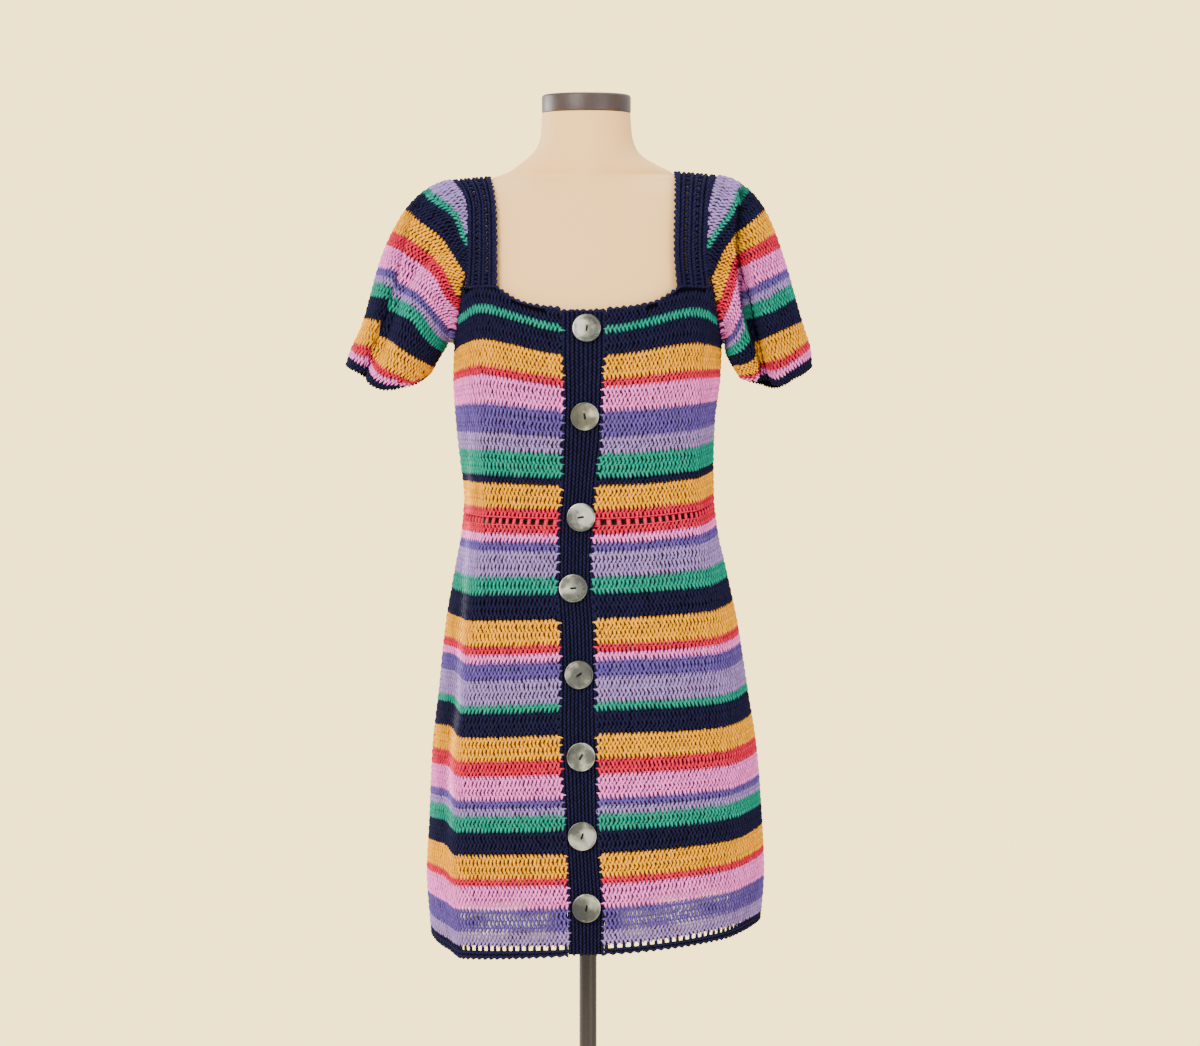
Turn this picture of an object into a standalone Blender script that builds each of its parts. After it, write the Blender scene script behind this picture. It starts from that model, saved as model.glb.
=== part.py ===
# Crochet dress with square neck, puffed short sleeves and a buttoned front, on a limbless dress form.
# Metres, +Z up. The front faces -Y, left is -X. The origin is under the middle of the form's base.

import math

import bmesh
import bpy
from mathutils import Vector

# Cloth
cloth_thickness = 0.0024
seam_gap = 0.0003
seam_angle = math.degrees(0.5 * seam_gap / 0.146)

# Rows of crochet, counted down from the top of the first green row
row_pitch = 0.00865
waist_row = 24.0
skirt_row = 25.0
hem_row = 77.0
last_row = 78.6
waist_hole_pitch = 0.0084
waist_hole_width = 0.0046
waist_rail_share = 0.35
hem_hole_pitch = 0.0079
hem_hole_width = 0.0046
hem_post_share = 0.42
picot_depth = 0.0016

# Seams, as angles round the body from the right side towards the back
right_side = 0.0
left_side = 180.0
front_middle = 270.0
armhole_angle = 25.5
strap_inner_angle = 51.0
armhole_steps = 5
strap_steps = 8
sleeve_steps = 10
cuff_start = 0.93

# Ribs down the button band
rib_count = 5
rib_height = 0.0006

# Buttons
button_radius = 0.0154
button_thickness = 0.0030
button_rim = 0.0012
slot_length = 0.0064
slot_width = 0.0018

# Form and stand
cap_radius = 0.0490
cap_bottom = 1.4800
cap_top = 1.5000
pole_radius = 0.0095
torso_bottom = 0.700
base_radius = 0.150
base_edge = 0.006
base_height = 0.016
collar_radius = 0.020
collar_height = 0.050


def table(names, *rows):
    """Named columns of a table with a row for each section."""
    return {name: [row[i] for row in rows] for i, name in enumerate(names.split())}


# Outline of the dress at each height: reach to each side of the middle, and how square the section is
body = table(
    "height left right front back power",
    (0.540, 0.168, 0.184, 0.142, 0.146, 2.25),
    (0.594, 0.173, 0.189, 0.142, 0.146, 2.25),
    (0.648, 0.1765, 0.193, 0.141, 0.145, 2.25),
    (0.700, 0.174, 0.191, 0.138, 0.143, 2.3),
    (0.780, 0.1705, 0.185, 0.133, 0.138, 2.3),
    (0.850, 0.163, 0.1745, 0.126, 0.133, 2.3),
    (0.918, 0.156, 0.164, 0.116, 0.122, 2.35),
    (0.978, 0.146, 0.1515, 0.106, 0.108, 2.4),
    (1.020, 0.1385, 0.142, 0.099, 0.098, 2.4),
    (1.060, 0.1355, 0.138, 0.097, 0.092, 2.4),
    (1.095, 0.1395, 0.1375, 0.101, 0.089, 2.4),
    (1.140, 0.1445, 0.139, 0.110, 0.090, 2.4),
    (1.190, 0.1475, 0.145, 0.117, 0.094, 2.4),
    (1.225, 0.1465, 0.1465, 0.115, 0.098, 2.4),
    (1.260, 0.1475, 0.1475, 0.108, 0.100, 2.4),
    (1.300, 0.150, 0.150, 0.098, 0.099, 2.4),
)

# Height of a row at the front middle, and how far it is lifted elsewhere round the body
row_lines = table(
    "row middle right_side back left_side left_ridge right_ridge",
    (-2.0, 1.2590, 0.000, 0.004, 0.002, 0.027, 0.023),
    (0.0, 1.2424, 0.002, 0.004, 0.004, 0.0255, 0.0215),
    (4.0, 1.2106, 0.010, 0.006, 0.0065, 0.0195, 0.0145),
    (8.0, 1.1770, 0.0135, 0.008, 0.0085, 0.014, 0.0095),
    (16.0, 1.1048, 0.0175, 0.010, 0.008, 0.005, 0.007),
    (24.5, 1.0309, 0.020, 0.012, 0.0072, 0.0025, 0.008),
    (33.0, 0.9536, 0.0195, 0.012, 0.0074, -0.0015, 0.007),
    (46.0, 0.8370, 0.0195, 0.012, 0.0085, -0.005, 0.0055),
    (62.0, 0.6994, 0.0245, 0.013, 0.010, -0.004, 0.0095),
    (69.0, 0.6406, 0.030, 0.014, 0.012, -0.004, 0.013),
    (77.0, 0.5758, 0.0305, 0.015, 0.0155, -0.0035, 0.0155),
    (78.6, 0.5650, 0.0315, 0.015, 0.016, -0.0065, 0.0145),
)
row_stations = table(
    "angle name",
    (0.0, "right_side"),
    (90.0, "back"),
    (180.0, "left_side"),
    (220.0, "left_ridge"),
    (270.0, None),
    (320.0, "right_ridge"),
    (360.0, "right_side"),
)

# Upper edge of the bodice, by the angle from the side seam towards the middle
bodice_edge = table(
    "angle front back",
    (0.0, 1.2255, 1.2255),
    (9.0, 1.2320, 1.2300),
    (17.0, 1.2500, 1.2480),
    (22.0, 1.2680, 1.2680),
    (25.5, 1.2855, 1.2960),
    (51.0, 1.2855, 1.2960),
    (55.0, 1.2800, 1.2945),
    (64.0, 1.2690, 1.2920),
    (75.0, 1.2625, 1.2910),
    (90.0, 1.2590, 1.2905),
)

# Edges of the button band across the front
band = table(
    "height left right",
    (0.565, -0.0209, 0.0176),
    (0.620, -0.0220, 0.0180),
    (0.655, -0.0231, 0.0154),
    (0.692, -0.0253, 0.0132),
    (0.757, -0.0286, 0.0121),
    (0.811, -0.0315, 0.0110),
    (0.864, -0.0303, 0.0099),
    (0.918, -0.0319, 0.0088),
    (0.959, -0.0341, 0.0058),
    (1.027, -0.0330, 0.0072),
    (1.067, -0.0300, 0.0099),
    (1.131, -0.0286, 0.0165),
    (1.167, -0.0275, 0.0176),
    (1.214, -0.0290, 0.0198),
    (1.260, -0.0290, 0.0200),
)

# Soft ridges and troughs down the body
body_folds = table(
    "angle width depth top bottom",
    (221.0, 7.0, 0.0035, 1.20, 0.58),
    (322.0, 8.0, 0.0025, 1.16, 1.02),
    (207.0, 8.0, -0.0030, 0.90, 0.56),
    (240.0, 10.0, -0.0015, 0.86, 0.56),
    (333.0, 10.0, -0.0020, 0.82, 0.56),
    (38.0, 12.0, 0.0040, 0.88, 0.55),
    (62.0, 11.0, -0.0040, 0.86, 0.55),
    (100.0, 14.0, 0.0040, 0.84, 0.55),
    (134.0, 12.0, -0.0040, 0.88, 0.55),
    (158.0, 10.0, 0.0030, 0.86, 0.55),
)

# Shoulder straps: from the front of the bodice (0) over the shoulder (0.5) to the back (1)
strap_left = table(
    "along inner outer inner_depth outer_depth inner_height outer_height",
    (0.00, -0.1008, -0.1331, -0.0830, -0.0590, 1.2858, 1.2858),
    (0.20, -0.1010, -0.1305, -0.0705, -0.0560, 1.3290, 1.3290),
    (0.35, -0.1025, -0.1305, -0.0510, -0.0440, 1.3740, 1.3710),
    (0.44, -0.1065, -0.1385, -0.0290, -0.0260, 1.4005, 1.3970),
    (0.50, -0.1100, -0.1475, 0.0000, 0.0000, 1.4100, 1.4065),
    (0.56, -0.1080, -0.1400, 0.0290, 0.0270, 1.4005, 1.3970),
    (0.66, -0.1035, -0.1310, 0.0540, 0.0480, 1.3740, 1.3710),
    (0.82, -0.1020, -0.1305, 0.0760, 0.0600, 1.3350, 1.3310),
    (1.00, -0.1010, -0.1331, 0.0840, 0.0600, 1.2963, 1.2963),
)
strap_right = table(
    "along inner outer inner_depth outer_depth inner_height outer_height",
    (0.00, 0.0985, 0.1331, -0.0840, -0.0590, 1.2858, 1.2858),
    (0.20, 0.0960, 0.1290, -0.0715, -0.0560, 1.3290, 1.3290),
    (0.35, 0.0970, 0.1310, -0.0520, -0.0440, 1.3760, 1.3730),
    (0.44, 0.0975, 0.1345, -0.0300, -0.0260, 1.4055, 1.4020),
    (0.50, 0.0975, 0.1385, 0.0000, 0.0000, 1.4155, 1.4120),
    (0.56, 0.0975, 0.1350, 0.0300, 0.0270, 1.4055, 1.4020),
    (0.66, 0.0975, 0.1315, 0.0550, 0.0480, 1.3760, 1.3730),
    (0.82, 0.0985, 0.1310, 0.0770, 0.0600, 1.3350, 1.3310),
    (1.00, 0.1010, 0.1331, 0.0840, 0.0600, 1.2963, 1.2963),
)

# Sleeve sections down the sleeve: outer and inner ends, depth to the front and back, and sag between
sleeve_left = table(
    "along outer outer_height inner inner_height front back sag share",
    (0.00, -0.150, 1.4080, -0.148, 1.228, 0.062, 0.062, 0.0000, 0.00),
    (0.15, -0.176, 1.4000, -0.149, 1.229, 0.060, 0.060, 0.0000, 0.50),
    (0.30, -0.203, 1.3760, -0.151, 1.229, 0.058, 0.058, 0.0020, 0.85),
    (0.50, -0.2275, 1.3200, -0.153, 1.228, 0.057, 0.056, 0.0100, 1.00),
    (0.75, -0.2495, 1.2440, -0.158, 1.220, 0.058, 0.055, 0.0240, 1.00),
    (0.90, -0.2610, 1.2190, -0.166, 1.207, 0.056, 0.053, 0.0270, 1.00),
    (1.00, -0.2660, 1.2035, -0.172, 1.196, 0.052, 0.050, 0.0240, 1.00),
)
sleeve_right = table(
    "along outer outer_height inner inner_height front back sag share",
    (0.00, 0.142, 1.4130, 0.148, 1.228, 0.062, 0.062, 0.0000, 0.00),
    (0.15, 0.170, 1.4050, 0.149, 1.229, 0.060, 0.060, 0.0000, 0.50),
    (0.30, 0.196, 1.3790, 0.150, 1.229, 0.058, 0.058, 0.0020, 0.85),
    (0.50, 0.216, 1.3180, 0.150, 1.228, 0.056, 0.056, 0.0080, 1.00),
    (0.75, 0.237, 1.2445, 0.152, 1.216, 0.055, 0.055, 0.0180, 1.00),
    (0.90, 0.2445, 1.2200, 0.158, 1.204, 0.053, 0.053, 0.0230, 1.00),
    (1.00, 0.246, 1.2015, 0.164, 1.195, 0.050, 0.050, 0.0210, 1.00),
)

# Sleeve folds run down the sleeve: angle from the outer line towards the front, at top and bottom
folds_left = table(
    "top_angle bottom_angle width depth start",
    (84.0, 48.0, 13.0, -0.012, 0.02),
    (112.0, 84.0, 18.0, 0.005, 0.05),
    (250.0, 262.0, 20.0, -0.008, 0.05),
    (300.0, 312.0, 18.0, -0.006, 0.20),
)
folds_right = table(
    "top_angle bottom_angle width depth start",
    (86.0, 112.0, 15.0, -0.022, 0.02),
    (122.0, 142.0, 16.0, 0.005, 0.05),
    (48.0, 58.0, 22.0, -0.006, 0.05),
    (262.0, 250.0, 20.0, -0.009, 0.05),
    (310.0, 300.0, 18.0, -0.006, 0.20),
)

# Buttons down the band: place across and up, lean to the side and turn of the thread slot
buttons = table(
    "across height lean turn",
    (-0.0012, 1.2392, 0.0, 80.0),
    (-0.0033, 1.1450, 0.0, 100.0),
    (-0.0073, 1.0350, -4.0, 8.0),
    (-0.0156, 0.9580, 0.0, 4.0),
    (-0.0095, 0.8650, 3.0, 35.0),
    (-0.0071, 0.7770, -4.0, 60.0),
    (-0.0060, 0.6920, 3.0, 70.0),
    (-0.0011, 0.6150, -8.0, 80.0),
)

# The form at each height
torso = table(
    "height left right front back power",
    (torso_bottom, 0.128, 0.128, 0.098, 0.104, 2.1),
    (0.708, 0.137, 0.137, 0.107, 0.113, 2.15),
    (0.730, 0.143, 0.144, 0.113, 0.119, 2.2),
    (0.800, 0.146, 0.148, 0.117, 0.122, 2.2),
    (0.860, 0.146, 0.147, 0.115, 0.120, 2.25),
    (0.918, 0.142, 0.143, 0.107, 0.112, 2.3),
    (0.978, 0.134, 0.134, 0.098, 0.099, 2.3),
    (1.030, 0.127, 0.127, 0.090, 0.088, 2.3),
    (1.060, 0.125, 0.126, 0.088, 0.083, 2.3),
    (1.095, 0.128, 0.128, 0.092, 0.081, 2.3),
    (1.140, 0.135, 0.133, 0.101, 0.082, 2.3),
    (1.190, 0.141, 0.140, 0.110, 0.086, 2.3),
    (1.225, 0.1415, 0.1415, 0.108, 0.090, 2.3),
    (1.260, 0.142, 0.142, 0.100, 0.092, 2.3),
    (1.300, 0.1435, 0.1435, 0.089, 0.090, 2.3),
    (1.340, 0.1445, 0.1445, 0.075, 0.079, 2.2),
    (1.370, 0.1450, 0.1450, 0.062, 0.066, 2.0),
    (1.388, 0.1450, 0.1455, 0.055, 0.057, 1.7),
    (1.398, 0.1430, 0.1450, 0.052, 0.053, 1.35),
    (1.4035, 0.1210, 0.1400, 0.0505, 0.0505, 1.15),
    (1.4070, 0.1070, 0.1330, 0.0500, 0.0500, 1.10),
    (1.4095, 0.1030, 0.1200, 0.0500, 0.0500, 1.10),
    (1.4120, 0.0950, 0.0965, 0.0500, 0.0500, 1.15),
    (1.4160, 0.0860, 0.0900, 0.0500, 0.0500, 1.3),
    (1.4240, 0.0750, 0.0740, 0.0500, 0.0500, 1.5),
    (1.4310, 0.0660, 0.0620, 0.0495, 0.0495, 1.7),
    (1.4400, 0.0575, 0.0535, 0.0490, 0.0490, 1.9),
    (1.4550, 0.0520, 0.0485, 0.0485, 0.0485, 2.0),
    (1.4797, 0.0505, 0.0465, 0.0480, 0.0480, 2.0),
)


def smooth(at, knots, values):
    """Smooth curve through the knots with no overshoot, straight beyond its ends."""
    order = sorted(range(len(knots)), key=lambda i: knots[i])
    x = [knots[i] for i in order]
    y = [values[i] for i in order]
    chords = [(y[i + 1] - y[i]) / (x[i + 1] - x[i]) for i in range(len(x) - 1)]
    slopes = [chords[0]]
    for before, after in zip(chords, chords[1:]):
        slopes.append(2 * before * after / (before + after) if before * after > 0 else 0.0)
    slopes.append(chords[-1])
    if at <= x[0]:
        return y[0] + (at - x[0]) * slopes[0]
    if at >= x[-1]:
        return y[-1] + (at - x[-1]) * slopes[-1]
    k = max(i for i in range(len(x) - 1) if x[i] <= at)
    span = x[k + 1] - x[k]
    s = (at - x[k]) / span
    rise = (2 * s**3 - 3 * s**2 + 1) * y[k] + (3 * s**2 - 2 * s**3) * y[k + 1]
    return rise + span * ((s**3 - 2 * s**2 + s) * slopes[k] + (s**3 - s**2) * slopes[k + 1])


def read(columns, key, name, at):
    """Value of one column of a table at a value of its key column."""
    return smooth(at, columns[key], columns[name])


def mix(a, b, share):
    return a + (b - a) * share


def ramp(value, start, end):
    """0 before start, 1 after end, smooth between."""
    share = min(max((value - start) / (end - start), 0.0), 1.0)
    return share * share * (3 - 2 * share)


def power_of(value, exponent):
    return math.copysign(abs(value) ** exponent, value)


def section_point(columns, angle, height):
    """Point of a closed section; angle 0 is the right side, 90 the back."""
    exponent = 2.0 / read(columns, "height", "power", height)
    across = power_of(math.cos(math.radians(angle)), exponent)
    deep = power_of(math.sin(math.radians(angle)), exponent)
    side = read(columns, "height", "right" if across > 0 else "left", height)
    end = read(columns, "height", "back" if deep > 0 else "front", height)
    return Vector((across * side, deep * end, height))


def fold_height(angle, height):
    """How far the folds move the body's cloth outwards."""
    moved = 0.0
    for middle, width, depth, top, bottom in zip(*body_folds.values()):
        nearness = math.exp(-(((angle % 360 - middle) / width) ** 2))
        moved += depth * nearness * ramp(height, top, top - 0.08) * ramp(height, bottom - 0.08, bottom)
    return moved


def body_point(angle, height):
    point = section_point(body, angle, height)
    outwards = Vector((point.x, point.y, 0.0)).normalized()
    return point + outwards * fold_height(angle, height)


def row_height(row, angle):
    """Height of a row of crochet at an angle round the body."""
    lifts = []
    for name in row_stations["name"]:
        lifts.append(read(row_lines, "row", name, row) if name else 0.0)
    angles = row_stations["angle"]
    around = [a - 360 for a in angles[-4:-1]] + angles + [a + 360 for a in angles[1:3]]
    lift = smooth(angle % 360, around, lifts[-4:-1] + lifts + lifts[1:3])
    return read(row_lines, "row", "middle", row) + lift


def angle_at(across, height):
    """Angle of the front point that lies this far across."""
    side = read(body, "height", "right" if across > 0 else "left", height)
    exponent = 0.5 * read(body, "height", "power", height)
    turn = math.degrees(math.asin(min(abs(across) / side, 1.0) ** exponent))
    return front_middle + math.copysign(turn, across)


def front_angle(side, share, height):
    """Angle on a front panel, from its side seam (0) to the button band (1)."""
    if side < 0:
        seam = left_side + seam_angle
        edge = angle_at(read(band, "height", "left", height) - seam_gap, height)
    else:
        seam = 360.0 - seam_angle
        edge = angle_at(read(band, "height", "right", height) + seam_gap, height)
    return mix(seam, edge, share)


def bodice_top(angle):
    """Height of the bodice's upper edge."""
    turn = angle % 180
    from_side = min(turn, 180 - turn)
    return read(bodice_edge, "angle", "back" if angle % 360 < 180 else "front", from_side)


def normal_of(point, u, v, reach):
    """Outward normal of a surface point(u, v), taken from its neighbours."""
    along = point(u + reach[0], v) - point(u - reach[0], v)
    down = point(u, v + reach[1]) - point(u, v - reach[1])
    return along.cross(down).normalized()


def layers(point, us, vs, reach, sense, thickness=cloth_thickness, raised=None):
    """Outer and inner grids of a cloth wall whose outer face is point(u, v)."""
    outer = []
    inner = []
    for v in vs:
        outer_row = []
        inner_row = []
        for u in us:
            normal = sense * normal_of(point, u, v, reach)
            place = point(u, v)
            outer_row.append(place + normal * (raised(u) if raised else 0.0))
            inner_row.append(place - normal * thickness)
        outer.append(outer_row)
        inner.append(inner_row)
    return outer, inner


def material(name, colour, roughness, metallic=0.0):
    made = bpy.data.materials.new(name)
    made.use_nodes = True
    shader = made.node_tree.nodes["Principled BSDF"]
    shader.inputs["Base Color"].default_value = (*colour, 1.0)
    shader.inputs["Roughness"].default_value = roughness
    shader.inputs["Metallic"].default_value = metallic
    return made


def add_object(name, mesh, finish, smooth_below=40.0):
    """Puts a mesh into the dress's collection under its name."""
    mesh.name = name
    mesh.materials.append(finish)
    made = bpy.data.objects.new(name, mesh)
    parts.objects.link(made)
    mesh.shade_smooth()
    mesh.set_sharp_from_angle(angle=math.radians(smooth_below))
    return made


def cloth_wall(name, grids, finish, closed=False, is_open=None):
    """Closed wall between an outer and an inner grid, with rims round its edges and its open cells."""
    outer, inner = grids
    work = bmesh.new()
    faces = [[[work.verts.new(place) for place in row] for row in grid] for grid in (outer, inner)]
    columns = len(outer[0])
    last = columns if closed else columns - 1
    edges = {}
    for i in range(len(outer) - 1):
        for j in range(last):
            if is_open and is_open(i, j):
                continue
            after = (j + 1) % columns
            ring = [(i, j), (i, after), (i + 1, after), (i + 1, j)]
            work.faces.new([faces[0][a][b] for a, b in ring])
            work.faces.new([faces[1][a][b] for a, b in reversed(ring)])
            for start, end in zip(ring, ring[1:] + ring[:1]):
                edges[(start, end)] = True
    for start, end in edges:
        if (end, start) not in edges:
            rim = [faces[0][start[0]][start[1]], faces[1][start[0]][start[1]]]
            rim += [faces[1][end[0]][end[1]], faces[0][end[0]][end[1]]]
            work.faces.new(rim)
    loose = [vert for vert in work.verts if not vert.link_faces]
    bmesh.ops.delete(work, geom=loose, context="VERTS")
    bmesh.ops.recalc_face_normals(work, faces=work.faces[:])
    mesh = bpy.data.meshes.new(name)
    work.to_mesh(mesh)
    work.free()
    return add_object(name, mesh, finish)


def turned(name, profile, finish, steps, place=(0.0, 0.0, 0.0), turn=None):
    """Solid of revolution: the profile runs down its outer side, from the axis to the axis."""
    mesh = bpy.data.meshes.new(name)
    points = [(radius, 0.0, height) for radius, height in profile]
    mesh.from_pydata(points, [(i, i + 1) for i in range(len(points) - 1)], [])
    made = add_object(name, mesh, finish)
    screw = made.modifiers.new("Turn", "SCREW")
    screw.axis = "Z"
    screw.steps = steps
    screw.render_steps = steps
    screw.use_merge_vertices = True
    screw.merge_threshold = 0.00001
    made.location = place
    if turn:
        made.rotation_mode = "QUATERNION"
        made.rotation_quaternion = turn
    return made


def front_shares(steps):
    """Shares of a front panel, with the armhole's and the strap's edges on them."""
    whole = front_middle - left_side
    edges = [0.0, armhole_angle, strap_inner_angle, whole]
    counts = [armhole_steps, 3, steps - armhole_steps - 3]
    shares = []
    for start, end, count in zip(edges, edges[1:], counts):
        shares += [mix(start, end, k / count) / whole for k in range(count)]
    return shares + [1.0]


def bodice_angle(side, share, height):
    """Angle on the bodice's front, the same at every height up to the strap."""
    straight = armhole_angle + strap_inner_angle
    whole = front_middle - left_side
    start = mix(left_side + seam_angle, front_middle, share)
    if side > 0:
        start = mix(360.0 - seam_angle, front_middle, share)
    return mix(start, front_angle(side, share, height), ramp(share * whole, 0.5 * straight, whole))


def bodice_front(name, side):
    def point(share, down):
        angle = bodice_angle(side, share, 1.20)
        height = mix(bodice_top(angle), row_height(waist_row, angle), down)
        return body_point(bodice_angle(side, share, height), height)

    downs = [k / 7 for k in range(8)]
    downs[-1] = 1.0 - 0.5 * seam_gap / 0.2
    grids = layers(point, front_shares(16), downs, (0.004, 0.004), side)
    cloth_wall(name, grids, cloth)


def back_angles(steps):
    """Angles across the back, with the armholes' and the straps' edges on them."""
    edges = [0.0, armhole_angle, strap_inner_angle, 90.0]
    counts = [armhole_steps, 3, steps // 2 - armhole_steps - 3]
    half = []
    for start, end, count in zip(edges, edges[1:], counts):
        half += [mix(start, end, k / count) for k in range(count)]
    half[0] = seam_angle
    return half + [90.0] + [180.0 - angle for angle in reversed(half)]


def bodice_back():
    def point(angle, down):
        height = mix(bodice_top(angle), row_height(waist_row, angle), down)
        return body_point(angle, height)

    downs = [k / 7 for k in range(8)]
    downs[-1] = 1.0 - 0.5 * seam_gap / 0.2
    cloth_wall("bodice_back", layers(point, back_angles(28), downs, (0.4, 0.004), -1), cloth)


def girth(row, start, end):
    """Length of a row between two angles."""
    angles = [mix(start, end, k / 60) for k in range(61)]
    points = [body_point(angle, row_height(row, angle)) for angle in angles]
    return sum((b - a).length for a, b in zip(points, points[1:]))


def skirt_panel(name, side, steps):
    """Panel between the waist row and the hem border; side 0 is the back."""
    def point(share, row):
        angle = row_angle(side, share, row)
        return body_point(angle, row_height(row, angle))

    gap_rows = 1.5 * seam_gap / row_pitch
    rows = [mix(skirt_row + gap_rows, hem_row - gap_rows, k / 9) for k in range(10)]
    shares = [k / steps for k in range(steps + 1)]
    cloth_wall(name, layers(point, shares, rows, (0.004, 0.2), side if side else -1), cloth)


def row_angle(side, share, row):
    """Angle at a share of a panel's width; side -1 and 1 are the fronts, 0 the back."""
    if side == 0:
        return mix(right_side + seam_angle, left_side - seam_angle, share)
    return front_angle(side, share, read(row_lines, "row", "middle", row))


def eyelet_row(name, side, rows, hole_row, pitch, width, finish, picot=0.0):
    """Row of posts with open squares between them, on a rail that may end in small points."""
    middle = 0.5 * (rows[0] + rows[-1])
    start = row_angle(side, 0.0, middle)
    end = row_angle(side, 1.0, middle)
    length = girth(middle, start, end)
    holes = round(length / pitch)
    post = (length - holes * width) / (holes + 1)
    steps = [0.0]
    for _ in range(holes):
        steps += [post, width]
    steps.append(post)
    shares = [sum(steps[: k + 1]) / length for k in range(len(steps))]

    def point(share, row):
        angle = row_angle(side, share, row)
        return body_point(angle, row_height(row, angle))

    grids = layers(point, shares, rows, (0.004, 0.2), side if side else -1)
    for grid in grids:
        for place in grid[-1][1::2]:
            place.z -= picot
    cloth_wall(name, grids, finish, is_open=lambda i, j: i == hole_row and j % 2 == 1)


def strap_point(columns, across, along):
    """Point of a strap, from its neck edge (0) to its armhole edge (1)."""
    values = {name: read(columns, "along", name, along) for name in columns if name != "along"}
    return Vector((
        mix(values["inner"], values["outer"], across),
        mix(values["inner_depth"], values["outer_depth"], across),
        mix(values["inner_height"], values["outer_height"], across),
    ))


def strap_alongs():
    """Places along a strap, closer over the shoulder."""
    half = [0.5 * math.sin(0.5 * math.pi * k / strap_steps) for k in range(strap_steps)]
    return half + [0.5] + [1.0 - along for along in reversed(half)]


def shoulder_strap(name, columns, side):
    def point(across, along):
        return strap_point(columns, across, along)

    alongs = strap_alongs()
    alongs[0] += 0.0015
    alongs[-1] -= 0.0015
    grids = layers(point, [0.0, 0.5, 1.0], alongs, (0.02, 0.004), side)
    cloth_wall(name, grids, navy)


def armhole(columns, side):
    """Points of the armhole from the shoulder round the front, under the arm and up the back."""
    alongs = strap_alongs()
    front = [strap_point(columns, 1.0, along) for along in reversed(alongs[1 : strap_steps + 1])]
    back = [strap_point(columns, 1.0, along) for along in reversed(alongs[strap_steps + 1 : -1])]
    turns = [armhole_angle * (1.0 - k / armhole_steps) for k in range(armhole_steps + 1)]
    under = []
    for turn in turns:
        angle = left_side + turn if side < 0 else 360.0 - turn
        under.append(body_point(angle, bodice_top(angle)))
    for turn in reversed(turns[:-1]):
        angle = left_side - turn if side < 0 else turn
        under.append(body_point(angle, bodice_top(angle)))
    return front + under + back


def closed_reading(points, turn):
    """Point at a turn of 0 to 360 round a closed list of points."""
    place = turn / 360.0 * len(points)
    k = math.floor(place)
    return points[k % len(points)].lerp(points[(k + 1) % len(points)], place - k)


def sleeve_point(columns, folds, ring, side, turn, along):
    """Point of a sleeve; turn 0 is its outer line, 90 its front, 180 under the arm."""
    names = ("outer", "outer_height", "inner", "inner_height", "front", "back", "sag", "share")
    outer, outer_z, inner, inner_z, front, back, sag, share = (
        read(columns, "along", name, along) for name in names
    )
    c = math.cos(math.radians(turn))
    s = math.sin(math.radians(turn))
    wide = Vector((mix(inner, outer, 0.5 + 0.5 * c), 0.0, mix(inner_z, outer_z, 0.5 + 0.5 * c)))
    wide.y = -s * (front if s > 0 else back)
    wide.z -= sag * s * s
    seam = closed_reading(ring, turn)
    seam.x += side * 2 * seam_gap
    place = seam.lerp(wide, min(max(share, 0.0), 1.0))
    middle = Vector((mix(inner, outer, 0.5), 0.0, mix(inner_z, outer_z, 0.5)))
    moved = 0.0
    for top, bottom, width, depth, start in zip(*folds.values()):
        away = (turn - mix(top, bottom, along) + 180.0) % 360.0 - 180.0
        moved += depth * math.exp(-((away / width) ** 2)) * ramp(along, start, start + 0.25)
    outwards = place - middle
    return place + outwards.normalized() * moved


def sleeve(name, cuff_name, columns, folds, strap, side):
    ring = armhole(strap, side)
    count = len(ring)

    def point(turn, along):
        return sleeve_point(columns, folds, ring, side, turn, along)

    turns = [360.0 * k / count for k in range(count)]
    def cuff_point(turn, along):
        across = point(turn + 3.0, along) - point(turn - 3.0, along)
        travel = point(turn, along + 0.01) - point(turn, along - 0.01)
        down = (travel - travel.project(across)).normalized()
        return point(turn, along) + down * 3 * seam_gap * (1.0 - along) / (1.0 - cuff_start)

    alongs = [cuff_start * k / sleeve_steps for k in range(sleeve_steps + 1)]
    cloth_wall(name, layers(point, turns, alongs, (3.0, 0.01), side), cloth, closed=True)
    alongs = [cuff_start, 0.5 * (cuff_start + 1.0), 1.0]
    cloth_wall(cuff_name, layers(cuff_point, turns, alongs, (3.0, 0.01), side), navy, closed=True)


def band_point(across, row):
    """Point of the button band's foundation, from its left edge (0) to its right edge (1)."""
    height = row_height(row, front_middle)
    x = mix(read(band, "height", "left", height), read(band, "height", "right", height), across)
    return body_point(angle_at(x, height), height)


def rib(across):
    """Height of the ribs down the band at a place across it."""
    return rib_height * (1 - math.cos(2 * math.pi * rib_count * across))


def button_band():
    top_row = row_at(bodice_top(front_middle))
    rows = [mix(top_row, waist_row, k / 7) for k in range(7)]
    rows += [mix(waist_row, skirt_row, k / 2) for k in range(2)]
    rows += [mix(skirt_row, hem_row, k / 9) for k in range(9)] + [hem_row, last_row]
    shares = [k / 10 for k in range(11)]
    grids = layers(band_point, shares, rows, (0.05, 0.2), -1, raised=rib)
    cloth_wall("button_band", grids, navy)


def row_at(height):
    """Row of the front middle at this height."""
    rows = row_lines["row"]
    return smooth(height, row_lines["middle"], rows)


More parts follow.
